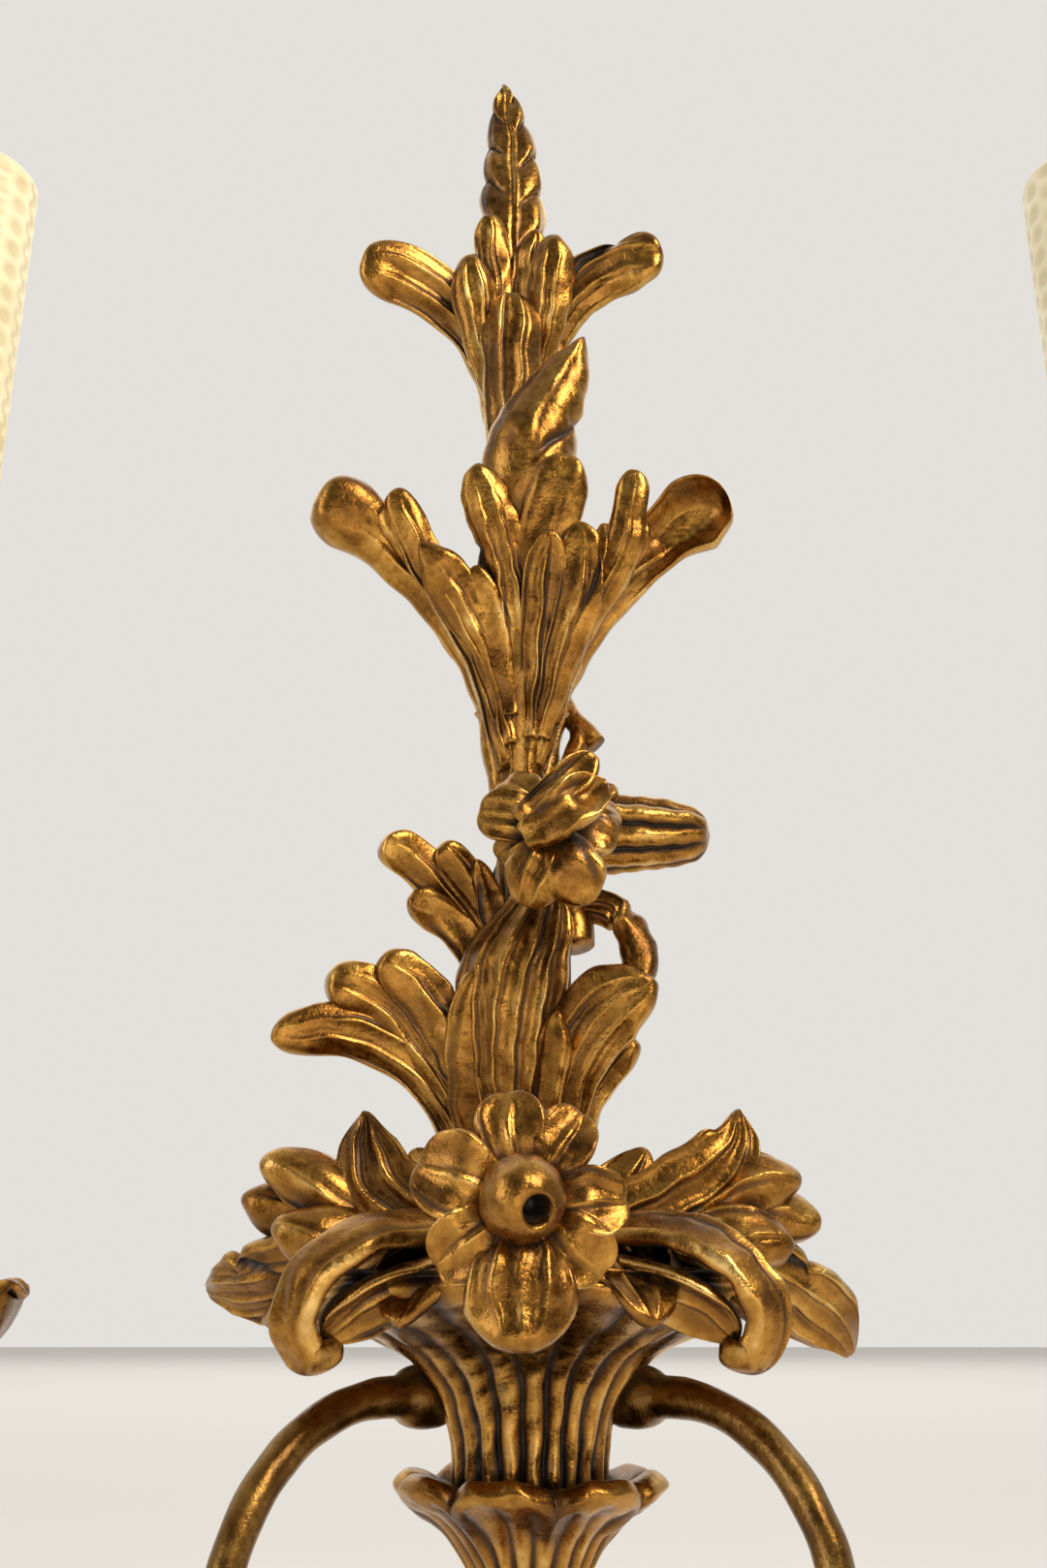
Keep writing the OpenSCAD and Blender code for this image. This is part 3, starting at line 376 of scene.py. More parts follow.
for s, node in ((-1, "calyx_curl_left"), (1, "calyx_curl_right")):
    piece(node, [
        leaf(calyx_at, [[s * 4, -3, -8], [s * 7, -5, 18], [s * 15, -10, 36], [s * 27, -15, 50],
                        [s * 39, -19, 60], [s * 48, -22, 66], [s * 57, -25, 69]],
             [5, 6.6, 7.6, 8, 8.4, 10.2, 9.4] if s < 0 else [5, 6.6, 7.6, 8, 8.4, 11, 10.6],
             (ACROSS, lean(s, 46)), thick=(8, 8, 8, 9, 14, 17), cup=(-0.2, -0.1, 0.0, 0.0),
             flutes=3, depth=1.7, fade=(0, 0.66), blunt=2, point=0, bowl=12 if s > 0 else 0,
             seed=15 + s, along_n=110)])
for s, node, tip in ((-1, "calyx_lobe_left", -35), (1, "calyx_lobe_right", 31)):
    shells = [leaf(calyx_at, [[s * 4, -8, -4], [s * 9, -13, 20], [s * 18, -19, 38],
                              [s * 27, -24, 53], [tip, -28, 70 if s < 0 else 76]],
                   [3, 4.5, 5, 5.4, 4.6], (ACROSS, lean(s, 20)), thick=(7, 7), cup=(-0.2, -0.1),
                   flutes=2, depth=1.5, fade=(0, 0.86), point=0.4, seed=18 + s)]
    shells.append(leaf(calyx_at, [[s * 5, -7, 2], [s * 13, -14, 28], [s * 24, -20, 48],
                                  [tip + s * 4, -24, 66 if s < 0 else 62]],
                       [3, 4, 4.6, 4], (ACROSS, lean(s, 30)), thick=(6, 6), cup=(-0.2, -0.1),
                       flutes=2, depth=1.3, fade=(0, 0.8), point=0.5, seed=28 + s))
    piece(node, shells)
piece("calyx_center_leaf", [
    leaf(calyx_at, [[-1, -6, -16], [-1, -11, 14], [-3, -19, 40], [-7, -25, 58], [-13, -29, 77]],
         [4.5, 6, 6.6, 7.4, 6], thick=(8, 7, 7), cup=(-0.3, -0.1), flutes=3, depth=1.5,
         fade=(0, 0.86), point=0.5, nicks=[(0.72, -1, 0.3, 0.05)], seed=13, along_n=90),
    leaf(calyx_at, [[1, -7, -16], [1, -12, 14], [3, -19, 40], [8, -26, 62], [13, -30, 80]],
         [4.5, 6, 6.6, 8.6, 7], thick=(8, 7, 7), cup=(-0.3, 0.1), flutes=2, depth=1.5,
         fade=(0, 0.76), point=0.3, nicks=[(0.7, 1, 0.3, 0.05)], seed=14, along_n=90)])
piece("calyx_front_leaf_left", [
    leaf(calyx_at, [[-3, -10, 2], [-9, -16, 26], [-18, -22, 42], [-27, -27, 55]],
         [3, 5, 7, 4.6], thick=(6, 6), cup=(-0.2, 0), flutes=2, depth=1.2, fade=(0, 0.8),
         point=0.8, seed=21),
    leaf(calyx_at, [[-3, -12, 10], [-8, -18, 30], [-13, -24, 49]], [3, 5.0, 4.6],
         thick=(6, 5), cup=(-0.2, 0.1), flutes=1, depth=1.2, fade=(0, 0.8), point=0.5, seed=24)])
piece("calyx_front_leaf_right", [
    leaf(calyx_at, [[2, -11, 4], [4, -18, 26], [6, -25, 44], [8, -30, 57]], [3, 4.4, 6, 4.6],
         thick=(7, 6), cup=(-0.2, 0.2), flutes=2, depth=1.6, fade=(0, 0.9), point=0.5, seed=22)])
piece("calyx_side_leaf_right", [
    leaf(calyx_at, [[5, -11, 4], [11, -19, 26], [16, -25, 42], [16, -28, 60]], [3, 5, 6.4, 5.4],
         thick=(6, 6), cup=(-0.1, 0.2), flutes=2, depth=1.2, fade=(0, 0.85),
         nicks=[(0.82, 1, 0.3, 0.06)], seed=23),
    leaf(calyx_at, [[7, -10, 8], [15, -17, 32], [22, -22, 48], [23, -24, 62]], [3, 4, 5, 4],
         thick=(6, 6), flutes=2, depth=1.1, fade=(0, 0.85), point=0.6, seed=26)])

# ---------- the flame leaf ----------
# A plump leaf that leans to the right out of the calyx and ends in a turned-up point. It is almost
# plain, with two shallow hollows and one nick.

piece("flame_leaf", [
    leaf(calyx_at, [[0, -9, 58], [1, -17, 75], [3, -22, 89], [9, -24, 103], [18, -25, 121]],
         [8, 12.5, 13, 9.6, 4], (ACROSS, lean(1, 34)), thick=(12, 14, 10, 6), cup=(-0.35, -0.3),
         flutes=2, depth=0.5, fade=(0.3, 0.95), point=1.3, nicks=[(0.66, 1, 0.2, 0.05)], seed=12,
         uneven=0.3, along_n=90)])

# ---------- the flower on the stem ----------
# Thick spoon petals glued in two layers. Two fluted ones cross in front of the rest, and a fluted
# bud and a bare twig stub stand beside it.


def petal(at, angle, length, half, droop=0.0, back=0.0, start=1.0, thick=6, seed=0, **carving):
    """A petal that points to angle degrees up from +X in the plane that faces -Y."""
    c, q = math.cos(math.radians(angle)), math.sin(math.radians(angle))
    rib = [[r * c, y + back, r * q] for r, y in
           zip(start + (length - start) * np.array([0, 0.35, 0.7, 1]), (1, -3, -3.5, droop))]
    settings = {"flutes": 2, "depth": 1.1, "fade": (0.15, 0.8), "cup": (0.1, 0.3), "point": 0,
                "uneven": 0.3}
    return leaf(at, rib, [half * 0.5, half * 0.9, half * 1.05, half * 0.85], ((q, 0, -c),) * 2,
                thick, seed=seed, across_n=31, along_n=40, **{**settings, **carving})


low, high = corners("stem_flower")
bloom_at = np.array([(low[0] + high[0]) / 2, low[1] + 10, (low[2] + high[2]) / 2])
shells = [petal(bloom_at, angle, length, half, droop, back, thick=7, seed=40 + i, flutes=flutes)
          for i, (angle, length, half, droop, back, flutes) in enumerate((
              (132, 18, 6.2, 1, 4, 2), (165, 19, 7.2, 0, 2, 4), (52, 18, 5, 2, 5, 2),
              (352, 15, 5.2, 0, 3, 1), (20, 16, 5, 3, 4, 2), (205, 14, 5, 2, 4, 2)))]
for i, (angle, bowl, flutes) in enumerate(((248, 0.6, 3), (292, 2.2, 1))):
    shells.append(petal(bloom_at + [0, 0, -2], angle, 19, 7.6, 0, -1 - i, thick=10, seed=50 + i,
                        flutes=flutes, bowl=bowl, cup=(0, -0.1)))
shells.append(leaf(bloom_at, [[-8, -6, 0], [-2, -9, 5], [5, -9, 11], [10, -6, 17]],
                   [3.4, 4.4, 5, 4], (lean(1, 45), lean(1, 45)), 7, 0.2, flutes=1, depth=2,
                   fade=(0.1, 0.85), seed=57, across_n=31))
shells.append(leaf(bloom_at, [[-7, -8, -5], [0, -11, -1], [7, -11, 5], [13, -8, 9]],
                   [3.6, 5.6, 6.6, 5.6], (lean(1, 52), lean(1, 52)), 7, 0.25, flutes=1, depth=1.4,
                   fade=(0.1, 0.85), bowl=3, seed=58, across_n=31))
piece("stem_flower", shells)

bud, cut = reeded([0, 1, 8, 16, 24, 30, 33, 35, 36], [3, 9, 10.5, 10.2, 9.2, 7.8, 6.4, 4.2, 0.5], 8,
                  [0, 1.4, 2.4, 2.5, 2.3, 1.8, 0.9, 0.2, 0], around=144, along_n=90, seed=2,
                  wander=0.0)
low, high = corners("stem_bud_right")
bud = bud[..., ::-1]
bud_at = np.array([high[0] - 35, (low[1] + high[1]) / 2, (low[2] + high[2]) / 2])
piece("stem_bud_right", [
    closed(hand_cut(bud, 0.28, 61) + bud_at, cut),
    leaf(bud_at, [[-8, 0, 6], [2, -3, 9], [12, -5, 10]], [4, 5.5, 5], ((0, -0.5, -1),) * 2, 5,
         flutes=2, seed=62, across_n=31)])


def round_rod(at, path, radius, around=24, along_n=90, uneven=0.2, seed=0):
    """A round rod whose centre line is a Catmull-Rom curve and whose radius changes along it."""
    t = np.linspace(0, 1, along_n)
    here, across, face = frame_along(np.array(path, float), ((0, 1, 0), (0, 1, 0)), t)
    a = np.linspace(0, 2 * np.pi, around, endpoint=False)[None, :, None]
    turned = across[:, None] * np.cos(a) + face[:, None] * np.sin(a)
    rings = here[:, None] + through(radius, t)[:, None] * turned
    return closed(hand_cut(rings, uneven, seed) + at, 0.0)


piece("twig", [
    round_rod(middle_at, [[6, 2, 55], [10, 0, 48], [15, -3, 38], [19, -5, 32], [21, -6, 29]],
              [3.4, 3, 2.9, 3.4, 3.2], seed=63),
    round_rod(middle_at, [[17, -4, 36], [16, -7, 29], [14, -10, 20]], [2.6, 2.6, 3.2], seed=64)])

# ---------- the leaves low on the stem ----------
# A ridged sheath wraps the stem, with a fan of three round lobes on each side of it and a fluted
# strap that arches from the flower down to the right-hand leaf.

piece("stem_sheath", [
    leaf(foot_at, [[-5, -9, -20], [-6, -12, 4], [-6, -16, 22], [-4, -18, 38], [1, -17, 51],
                   [5, -14, 64]],
         [8, 9.5, 12.5, 14, 10.5, 5.5], thick=(8, 9, 8), cup=(-0.5, -0.4), flutes=5, depth=1.8,
         fade=(0, 0.97), point=0.6, seed=54, uneven=0.3, across_n=61, along_n=90),
    leaf(foot_at, [[-12, -9, -14], [-15, -14, 8], [-15, -18, 26], [-11, -20, 40]],
         [3.5, 5, 5.5, 4], thick=(6, 6), flutes=1, depth=1.4, fade=(0, 0.9), point=0.6, seed=56)])
lobes = {
    "stem_leaf_lower_left": (
        ([[-10, -6, -16], [-17, -7, 2], [-26, -8, 15], [-38, -11, 23], [-50, -14, 25],
          [-64, -16, 22]], [5, 6, 6.5, 7, 6.6, 5], 3, 0.5),
        ([[-9, -7, -14], [-16, -8, 6], [-27, -10, 22], [-38, -13, 33], [-51, -15, 37]],
         [5, 6, 6.6, 7, 6.4], 3, 0.0),
        ([[-8, -8, -12], [-13, -10, 8], [-20, -12, 24], [-29, -14, 36], [-38, -16, 42]],
         [5, 6, 6.6, 6.8, 5.6], 2, 0.1)),
    "stem_leaf_upper_left": (
        ([[-5, -3, 34], [-13, -5, 52], [-22, -7, 63], [-31, -10, 71], [-39, -13, 73]],
         [3.5, 5, 5.8, 6.2, 5.6], 2, 0.0),
        ([[-4, -4, 36], [-10, -6, 56], [-17, -8, 67], [-24, -10, 74]], [3.5, 4.4, 5, 4.6], 2, 0.0),
        ([[-5, -3, 26], [-13, -5, 44], [-20, -8, 53], [-31, -11, 60]], [3.5, 4.6, 5.2, 4.6], 1, 0.0),
        ([[-4, -5, 40], [-9, -8, 56], [-14, -11, 70]], [3, 4, 3], 1, 1.0)),
    "stem_leaf_lower_right": (
        ([[7, -7, -16], [8, -10, 4], [12, -15, 20], [20, -18, 30], [32, -20, 35]],
         [5, 6.5, 9.4, 10.5, 7], 4, 0.5),
        ([[4, -9, -14], [4, -13, 6], [6, -17, 20], [7, -18, 29]], [3.5, 4.4, 5, 3.6], 1, 0.8),
        ([[9, -6, -14], [13, -8, 6], [20, -11, 17], [27, -13, 22]], [4, 5, 5.4, 4.4], 2, 0.2)),
}
for name, fan in lobes.items():
    s = 1 if name.endswith("right") else -1
    piece(name, [leaf(foot_at, rib, half, (lean(s, 25), lean(s, 62)), thick=(7, 7), cup=(-0.15, 0.05),
                      flutes=flutes, depth=1.4, fade=(0.05, 0.84), point=point,
                      seed=51 + 3 * i + len(name), across_n=35, along_n=60)
                 for i, (rib, half, flutes, point) in enumerate(fan)])
piece("tendril", [
    leaf(foot_at, [[8, -6, 58], [16, -9, 58], [24, -11, 54], [28, -13, 44], [27, -15, 33]],
         [4.4, 4.8, 4.8, 4.6, 4.4], (lean(1, 90), lean(1, 10)), thick=(7, 7, 7), flutes=3,
         depth=1.1, fade=(-0.3, 1.2), seed=65),
    round_rod(foot_at, [[10, -5, 62], [11, -8, 54], [12, -10, 47]], [4.6, 5.4, 4.8], seed=66)])

# ---------- the vase and the collar ----------
# A turned trumpet cut into reeds, with its back planed flat for the wall. The mound on it carries
# a collar of drooping leaves.

low, high = corners("vase")
rim_r, rim_below_top = (high[0] - low[0]) / 2, 8
vase_at = np.array([0, low[1] + rim_r, high[2] - rim_below_top])
wall_gap = 0.4


def to_wall(rings, cut, at):
    """A shell put at its axis, with what would be behind the wall planed off."""
    rings = rings + at
    rings[..., 1] = np.minimum(rings[..., 1], -wall_gap)
    return closed(rings, cut)


rings, cut = reeded([-42, -41.5, -38, -30, -21, -12, -6, -2, 1, 4, 6, 8, 8],
                    [0.5, 12, 17, 18, 20, 26, 36, 48, rim_r - 4, rim_r - 2, rim_r - 4, rim_r - 8, 0.5],
                    22, [0, 0.8, 2, 2.4, 2.6, 3, 3.4, 3.6, 3.4, 2.5, 1.5, 0.5, 0], seed=3, around=352,
                    along_n=110, wander=0.05)
piece("vase", [to_wall(hand_cut(rings, 0.35, 60), cut, vase_at)])

rings, cut = reeded([0, 0, 3, 8, 12, 13, 13], [0.5, 42, 41, 34, 20, 12, 0.5], 17,
                    [0, 1, 2, 2, 1.5, 1, 0], seed=5, around=170, along_n=60)
shells = [to_wall(hand_cut(rings, 0.8, 6), cut, vase_at + [0, 0, 6])]
# Two tiers of leaves droop from the mound. The upper tier is shorter and stands 12 degrees round.
for i, angle in enumerate(range(-165, -14, 25)):
    uneven_angle = math.radians(angle + 5 * math.sin(3 * i))
    reach = rim_r + 1 + 2 * math.sin(5 * i)
    for shift, top, half, turn, seed in ((0, 13, 10, 0, 70), (-9, 19, 8, 12, 170)):
        a = uneven_angle + math.radians(turn)
        c, q = math.cos(a), math.sin(a)
        rib = [[r * c, r * q, z] for r, z in
               ((18, top), (34, top + 1), (reach - 10 + shift, top - 5),
                (reach + shift * 1.4, top - 16))]
        shells.append(leaf(vase_at, rib, [6, half, half + 1, half * 0.8], ((q, -c, 0),) * 2, (6, 5),
                           (0.05, 0.25), flutes=3, depth=1.3, fade=(0.1, 0.9), seed=seed + i,
                           nicks=[(0.8, 1, 0.25, 0.05), (0.7, -1, 0.25, 0.05)], across_n=31,
                           along_n=40))
piece("collar_boss", shells)

for s, node in ((-1, "collar_scroll_left"), (1, "collar_scroll_right")):
    piece(node, [
        leaf(vase_at, [[s * 8, -26, 12], [s * 20, -38, 15], [s * 33, -48, 14], [s * 43, -52, 8],
                       [s * 48, -51, -1], [s * 45, -48, -8], [s * 38, -46, -7]],
             [6, 7.5, 8, 8, 7.4, 6.4, 5], ((-0.6, -s * 0.8, 0), (-0.5, -s * 0.9, 0)), thick=(7, 7, 6),
             cup=(-0.35, -0.35), flutes=2, depth=1.2, fade=(0, 0.8), seed=82 + s, along_n=90),
        leaf(vase_at, [[s * 12, -34, 8], [s * 22, -46, 5], [s * 32, -50, 1], [s * 42, -48, -5]],
             [5, 7, 7.5, 5], ((0.3, s * 0.5, -s * 0.6), (0.2, s * 0.6, -s * 0.6)), thick=(5, 5),
             cup=(0.3, 0.4), flutes=2, depth=1.2, fade=(0.1, 0.9), seed=84 + s)])
for s, node, tip in ((-1, "collar_side_leaf_left", 7), (1, "collar_side_leaf_right", -8)):
    piece(node, [
        leaf(vase_at, [[s * 24, -8, 13], [s * 38, -14, 13], [s * 52, -13, 8],
                       [s * 64, -6, 3 + tip * 0.3], [s * 75, 4, tip]],
             [7, 10.5, 12, 10.5, 6.4], ((0, s * 0.75, -s * 0.65),) * 2, thick=(8, 8, 7),
             cup=(-0.25, -0.1), flutes=4, depth=2.0, fade=(0.05, 0.92), point=0.8,
             nicks=[(0.72, 1, 0.3, 0.05), (0.6, -1, 0.3, 0.05)], seed=85 + s, along_n=90)])
for s, node, tip in ((-1, "collar_bud_left", 27), (1, "collar_bud_right", 21)):
    shells = []
    for i, (dx, dy, dz, half) in enumerate(((4, -3, 9, 6.2), (9, 3, 1, 6.2), (0, -9, -6, 5.8),
                                            (-4, 4, 6, 5))):
        shells.append(leaf(vase_at, [[s * 22, -18, 14], [s * 36, -21 + dy * 0.4, 17 + dz * 0.3],
                                     [s * (47 + dx * 0.5), -20 + dy, 20 + dz * 0.8],
                                     [s * (56 + dx), -18 + dy, tip - 4 + dz]],
                           [4, half, half + 1, half - 0.8], (lean(s, 60), lean(s, 50)),
                           thick=(7, 11, 9), cup=(-0.3, -0.3), flutes=2, depth=1.4,
                           fade=(0.1, 0.85), seed=88 + s + 4 * i, across_n=31, along_n=44))
    piece(node, shells)
for s, node, mid, tip in ((-1, "collar_upright_leaf_left", 33, 37),
                          (1, "collar_upright_leaf_right", 36, 46)):
    piece(node, [
        leaf(vase_at, [[s * 12, -24, 13], [s * 22, -29, 18], [s * mid, -28, 26],
                       [s * (tip - 1), -26, 34], [s * tip, -23, 43]],
             [6, 8.5, 9, 8, 5.4], (lean(s, 50), (1, 0.4 * s, 0)), thick=(8, 7),
             cup=(0.1, 0.25), flutes=3, depth=1.6, fade=(0.05, 0.95), point=1.0, seed=91 + s),
        leaf(vase_at, [[s * 16, -22, 14], [s * 28, -24, 20], [s * 40, -22, 26]], [5, 7.5, 6],
             (lean(s, 60), lean(s, 60)), thick=(6, 6), flutes=2, depth=1.3,
             seed=96 + s, across_n=31, along_n=40)])

low, high = corners("collar_back_leaves")
shells = []
for s, x in ((-1, low[0]), (1, high[0])):
    for i, (dx, dz) in enumerate(((0, 0), (-9, -7))):
        shells.append(leaf(np.array([x, high[1] - 4, high[2]]),
                           [[-16 * s, 2, -24], [(-8 + dx) * s, -2, -12], [(-3 + dx) * s, 0, -3 + dz]],
                           [6, 8, 6], thick=(6, 6), flutes=2, depth=1.2, fade=(0.1, 0.9),
                           seed=94 + s + 5 * i, across_n=31, along_n=40))
piece("collar_back_leaves", shells)

# ---------- the flower on the collar ----------
# Seven spoon petals round a ball with faint facets and a drilled eye, on a turned stalk. The lowest
# petal is the broadest and hangs over the rim.

low, high = corners("collar_flower")
flower_at = np.array([(low[0] + high[0]) / 2 - 2.5, low[1] + 12, (low[2] + high[2]) / 2 + 3])
shells = [petal(flower_at, angle, length, half, droop, back, start=4, thick=8, seed=140 + i,
                flutes=2, depth=1.2, bowl=bowl, cup=(0.2, 0.38), fade=(0.05, 0.85))
          for i, (angle, length, half, droop, back, bowl) in enumerate((
              (3, 20, 6.6, 0, 3, 1.56), (57, 21, 6.2, 0, 5, 1.2), (98, 22, 6.8, 0, 5, 1.2),
              (158, 22, 8.6, 0, 3, 1.44), (215, 20, 7.4, -1, 3, 1.32), (322, 20, 7.4, -1, 3, 1.8)))]
shells.append(petal(flower_at, 269, 27, 11, -5, 1, start=4, thick=7, seed=150, flutes=4,
                    depth=1.2, cup=(0, -0.15), fade=(0.05, 0.8)))
v = np.linspace(0, 1, 60)[:, None]
a = np.linspace(0, 2 * np.pi, 64, endpoint=False)[None, :]
ball_r, eye_r, eye_deep = 8.6, 2.5, 6.0
polar = np.pi * v + 0 * a
ball = ball_r * np.stack([np.sin(polar) * np.cos(a), -np.cos(polar), np.sin(polar) * np.sin(a)], -1)
ways = unit(np.random.default_rng(7).normal(size=(26, 3)))
facet = np.minimum(ball_r, 0.93 * ball_r / np.maximum((ball @ ways.T / ball_r).max(-1), 0.1))
ball = ball * (0.35 + 0.65 * facet[..., None] / ball_r)
eye = np.exp(-((np.hypot(ball[..., 0], ball[..., 2]) / eye_r) ** 4)) * (v < 0.5)
ball[..., 1] += eye_deep * eye
tilt = math.radians(24)
c, q = math.cos(tilt), math.sin(tilt)
ball = ball @ np.array([[c, q, 0], [-q, c, 0], [0, 0, 1]])
ball = ball @ np.array([[1, 0, 0], [0, c, q], [0, -q, c]])
# The drilled eye is darkened fully to the wax colour: wax in the hole and painted shade.
shells.append(closed(ball + flower_at + [0, -4, 1], 1.4 * eye))
stalk_r, y = 0.75 * ball_r, np.linspace(-2, 12, 20)[:, None]
stalk = np.stack([stalk_r * np.cos(a) + 0 * y, y + 0 * a, stalk_r * np.sin(a) + 0 * y], -1)
shells.append(closed(hand_cut(stalk, 0.5, 9) + flower_at, 0.5))
piece("collar_flower", shells)

# ---------- the tulip cup, the knop and the tail ----------
# A cup whose thick lip rolls out in scallops, a reeded knop and a leafy pointed drop, threaded on
# one dowel under the vase.

low, high = corners("tulip_cup")
cup_r, cup_foot, tall = (high[0] - low[0]) / 2, low[2], high[2] - low[2]
around, rows, scallops = 336, 110, 8
a = np.linspace(0, 2 * np.pi, around, endpoint=False)[None, :]
v = np.linspace(0, 1, rows)
drawn_tall = 40
zz = through([0, 1.5, 10, 20, 27, 31.5, 34, 35.5, 37.5, 39.5, drawn_tall, 38, 33, 30, 29], v)
zz = zz * tall / drawn_tall
rr = through([0.5, 9.5, 11, 13.5, 18, 23.5, 28, cup_r - 1, cup_r, cup_r - 1.5, cup_r - 4,
              22, 16, 12, 0.5], v)
wave = scallops / 2 * (a + 0.05 * np.sin(2 * a)) + 0.9
lobe = np.abs(np.cos(wave)) ** 0.55
lip = smooth(zz, 0.55 * tall, 0.9 * tall) * smooth(rr, 14, 24)
flute = 1 - np.abs(np.sin(3 * wave)) ** 0.8
below = smooth(v, 0.0, 0.1) * (1 - smooth(v, 0.42, 0.52))
radius = np.maximum(rr * (1 - 0.13 * lip * (1 - lobe)) - 1.5 * flute * below[:, None], 0.4)
rings = np.stack([radius * np.cos(a), radius * np.sin(a), zz + 3.4 * lip * (lobe - 0.8)], -1)
# Flutes low on the cup and the dips between scallops hold wax. The lobes below the rim go lighter:
# rubbed wear and a painted highlight.
cut = flute * below[:, None] + 0.8 * lip * (1 - lobe) - 0.4 * lip * lobe * (v[:, None] < 0.7)
# The whole inside of the cup is darkened to the wax colour: painted shade.
cut = cut + smooth(v, 0.75, 0.85)[:, None]
cut = np.clip(cut, -0.5, 1)
piece("tulip_cup", [to_wall(hand_cut(rings, 0.45, 3), cut, [0, vase_at[1], cup_foot])])

low, high = corners("knop")
knop_r = (high[0] - low[0]) / 2
rings, cut = reeded([0, 0, 2, 6, 10, 12, 12],
                    [0.5, 9, knop_r - 1, knop_r, knop_r - 1, 9, 0.5], 14,
                    [0, 0, 0.8, 1.2, 0.8, 0, 0], around=168, along_n=40)
piece("knop", [to_wall(hand_cut(rings, 0.3, 4), cut, [0, vase_at[1], low[2]])])

low, high = corners("tail")
tall = high[2] - low[2]
rings, cut = reeded([-tall, -tall * 0.96, -tall * 0.82, -tall * 0.62, -tall * 0.4, -tall * 0.22,
                     -tall * 0.1, 0, 0], [0.5, 2, 5, 8.5, 12.5, 14, 12, 7.5, 0.5], 11,
                    [0, 0.3, 0.9, 1.5, 2, 2, 1.4, 0.3, 0], around=176, along_n=130)
piece("tail", [to_wall(hand_cut(rings, 0.4, 8), cut, [0, vase_at[1], high[2]])])
shells = []
for i, degrees in enumerate((-90, -30, 30, 90)):
    c, q = math.cos(math.radians(degrees)), math.sin(math.radians(degrees))
    rib = [[r * q, -r * c, z] for r, z in ((8, -3), (16, -12), (20, -28), (24, -42), (31, -51))]
    shells.append(leaf(np.array([0, vase_at[1], high[2]]), rib, [5, 9, 10.5, 9, 6], ((-c, -q, 0),) * 2,
                       (6, 6), (0.1, 0.2), flutes=3, depth=1.4, fade=(0.1, 0.88), point=0.3,
                       nicks=[(0.7, 1, 0.3, 0.05), (0.7, -1, 0.3, 0.05)], seed=100 + i))
piece("tail_leaves", shells)

# ---------- the arms ----------
# Round iron rod, bent cold and gilt darker than the wood. A lump of gesso hides where each arm
# enters the vase.

ARM_GILT = gilding("worn_gilt_on_iron",
                   ((0.3, "#4a3215"), (0.48, "#755323"), (0.62, "#927036"), (0.8, "#b0904c")),
                   "#170e07", 0.3)
# The radii of the bend and of the loop, the straight between them, and the straight out of the
# vase. Then how far the bend turns, how far forwards the arm points, its root's height, its rod.
BEND, LOOP, MID, RUN = 42.0, 42.0, 18.0, 16.0
OVER, TURN, ROOT_Z, ROD_R = math.radians(80), math.radians(44), -140.0, 4.0


def arm_line(n=26):
    """The arm's centre line in its own plane: run out, over a bend, down, round a loop and up."""
    a = np.linspace(0, 1, n)
    first = np.stack([RUN + BEND * np.sin(a * OVER), -BEND * (1 - np.cos(a * OVER))], 1)
    p3 = first[-1] + MID * np.array([math.cos(OVER), -math.sin(OVER)])
    c = p3 + LOOP * np.array([math.sin(OVER), math.cos(OVER)])
    b = np.pi + (np.pi / 2 - OVER) + a * (np.pi / 2 + OVER)
    second = np.stack([c[0] + LOOP * np.cos(b), c[1] + LOOP * np.sin(b)], 1)
    return np.concatenate([[[-7.7, 0], [4, 0]], first, second, [[c[0] + LOOP, -2.3]]])


for s, side in ((-1, "left"), (1, "right")):
    low, high = corners("arm_" + side)
    line = arm_line()
    x, y = s * line[:, 0] * math.cos(TURN), -line[:, 0] * math.sin(TURN)
    end_x = high[0] - ROD_R if s > 0 else low[0] + ROD_R
    path = np.stack([x - x[-1] + end_x, y - y[-1] + low[1] + ROD_R, line[:, 1] + ROOT_Z], 1)
    steps = np.concatenate([[0], np.cumsum(np.linalg.norm(np.diff(path, axis=0), axis=1))])
    even = np.linspace(0, steps[-1], 90)
    path = np.stack([np.interp(even, steps, path[:, k]) for k in range(3)], 1)
    lump = 2.9 * np.exp(-(((even - 13) / 7) ** 4))
    swell = 0.5 * np.exp(-(((even - 25) / 5) ** 2))
    radius = ROD_R + lump + swell
    piece("arm_" + side, [round_rod(0, path, radius, around=32, along_n=260, uneven=0.12, seed=110)],
          ARM_GILT)

# ---------- the pans and the candle sockets ----------
# Each arm ends in a drip pan of six raised petals and a turned socket with milled flutes, held by
# a nut under the pan.

petals, first_petal, candle_clear = 6, 8, 0.3
for side in ("left", "right"):
    low, high = corners("candle_" + side)
    axis = np.array([(low[0] + high[0]) / 2, (low[1] + high[1]) / 2, low[2] - candle_clear])
    shells = []
    for i in range(petals):
        a = math.radians(360 / petals * i + first_petal)
        c, q = math.cos(a), math.sin(a)
        rib = [[r * c, r * q, z] for r, z in ((8, -7), (18, -6.4), (27, 3), (32, 11), (35, 9))]
        shells.append(leaf(axis, rib, [8, 11.5, 12.5, 11, 7], ((q, -c, 0),) * 2, (5, 5, 4), (0.1, 0.2),
                           flutes=3, depth=1.0, fade=(0.2, 0.9), seed=120 + i,
                           nicks=[(0.82, 1, 0.2, 0.05), (0.82, -1, 0.2, 0.05)]))
    piece("pan_" + side, shells)
    rings, cut = reeded([-5, -5, -3, 2, 8, 14, 20, 22, 22.3, 22, 12, 0, 0],
                        [0.5, 13, 15.5, 16.3, 15.6, 15.2, 15.8, 16.3, 14.5, 12.4, 12.3, 12.3, 0.5],
                        24, [0, 0, 0.5, 0.9, 0.9, 0.9, 0.6, 0, 0, 0, 0, 0, 0], around=192, along_n=80)
    piece("socket_" + side, [closed(rings + axis, cut)])
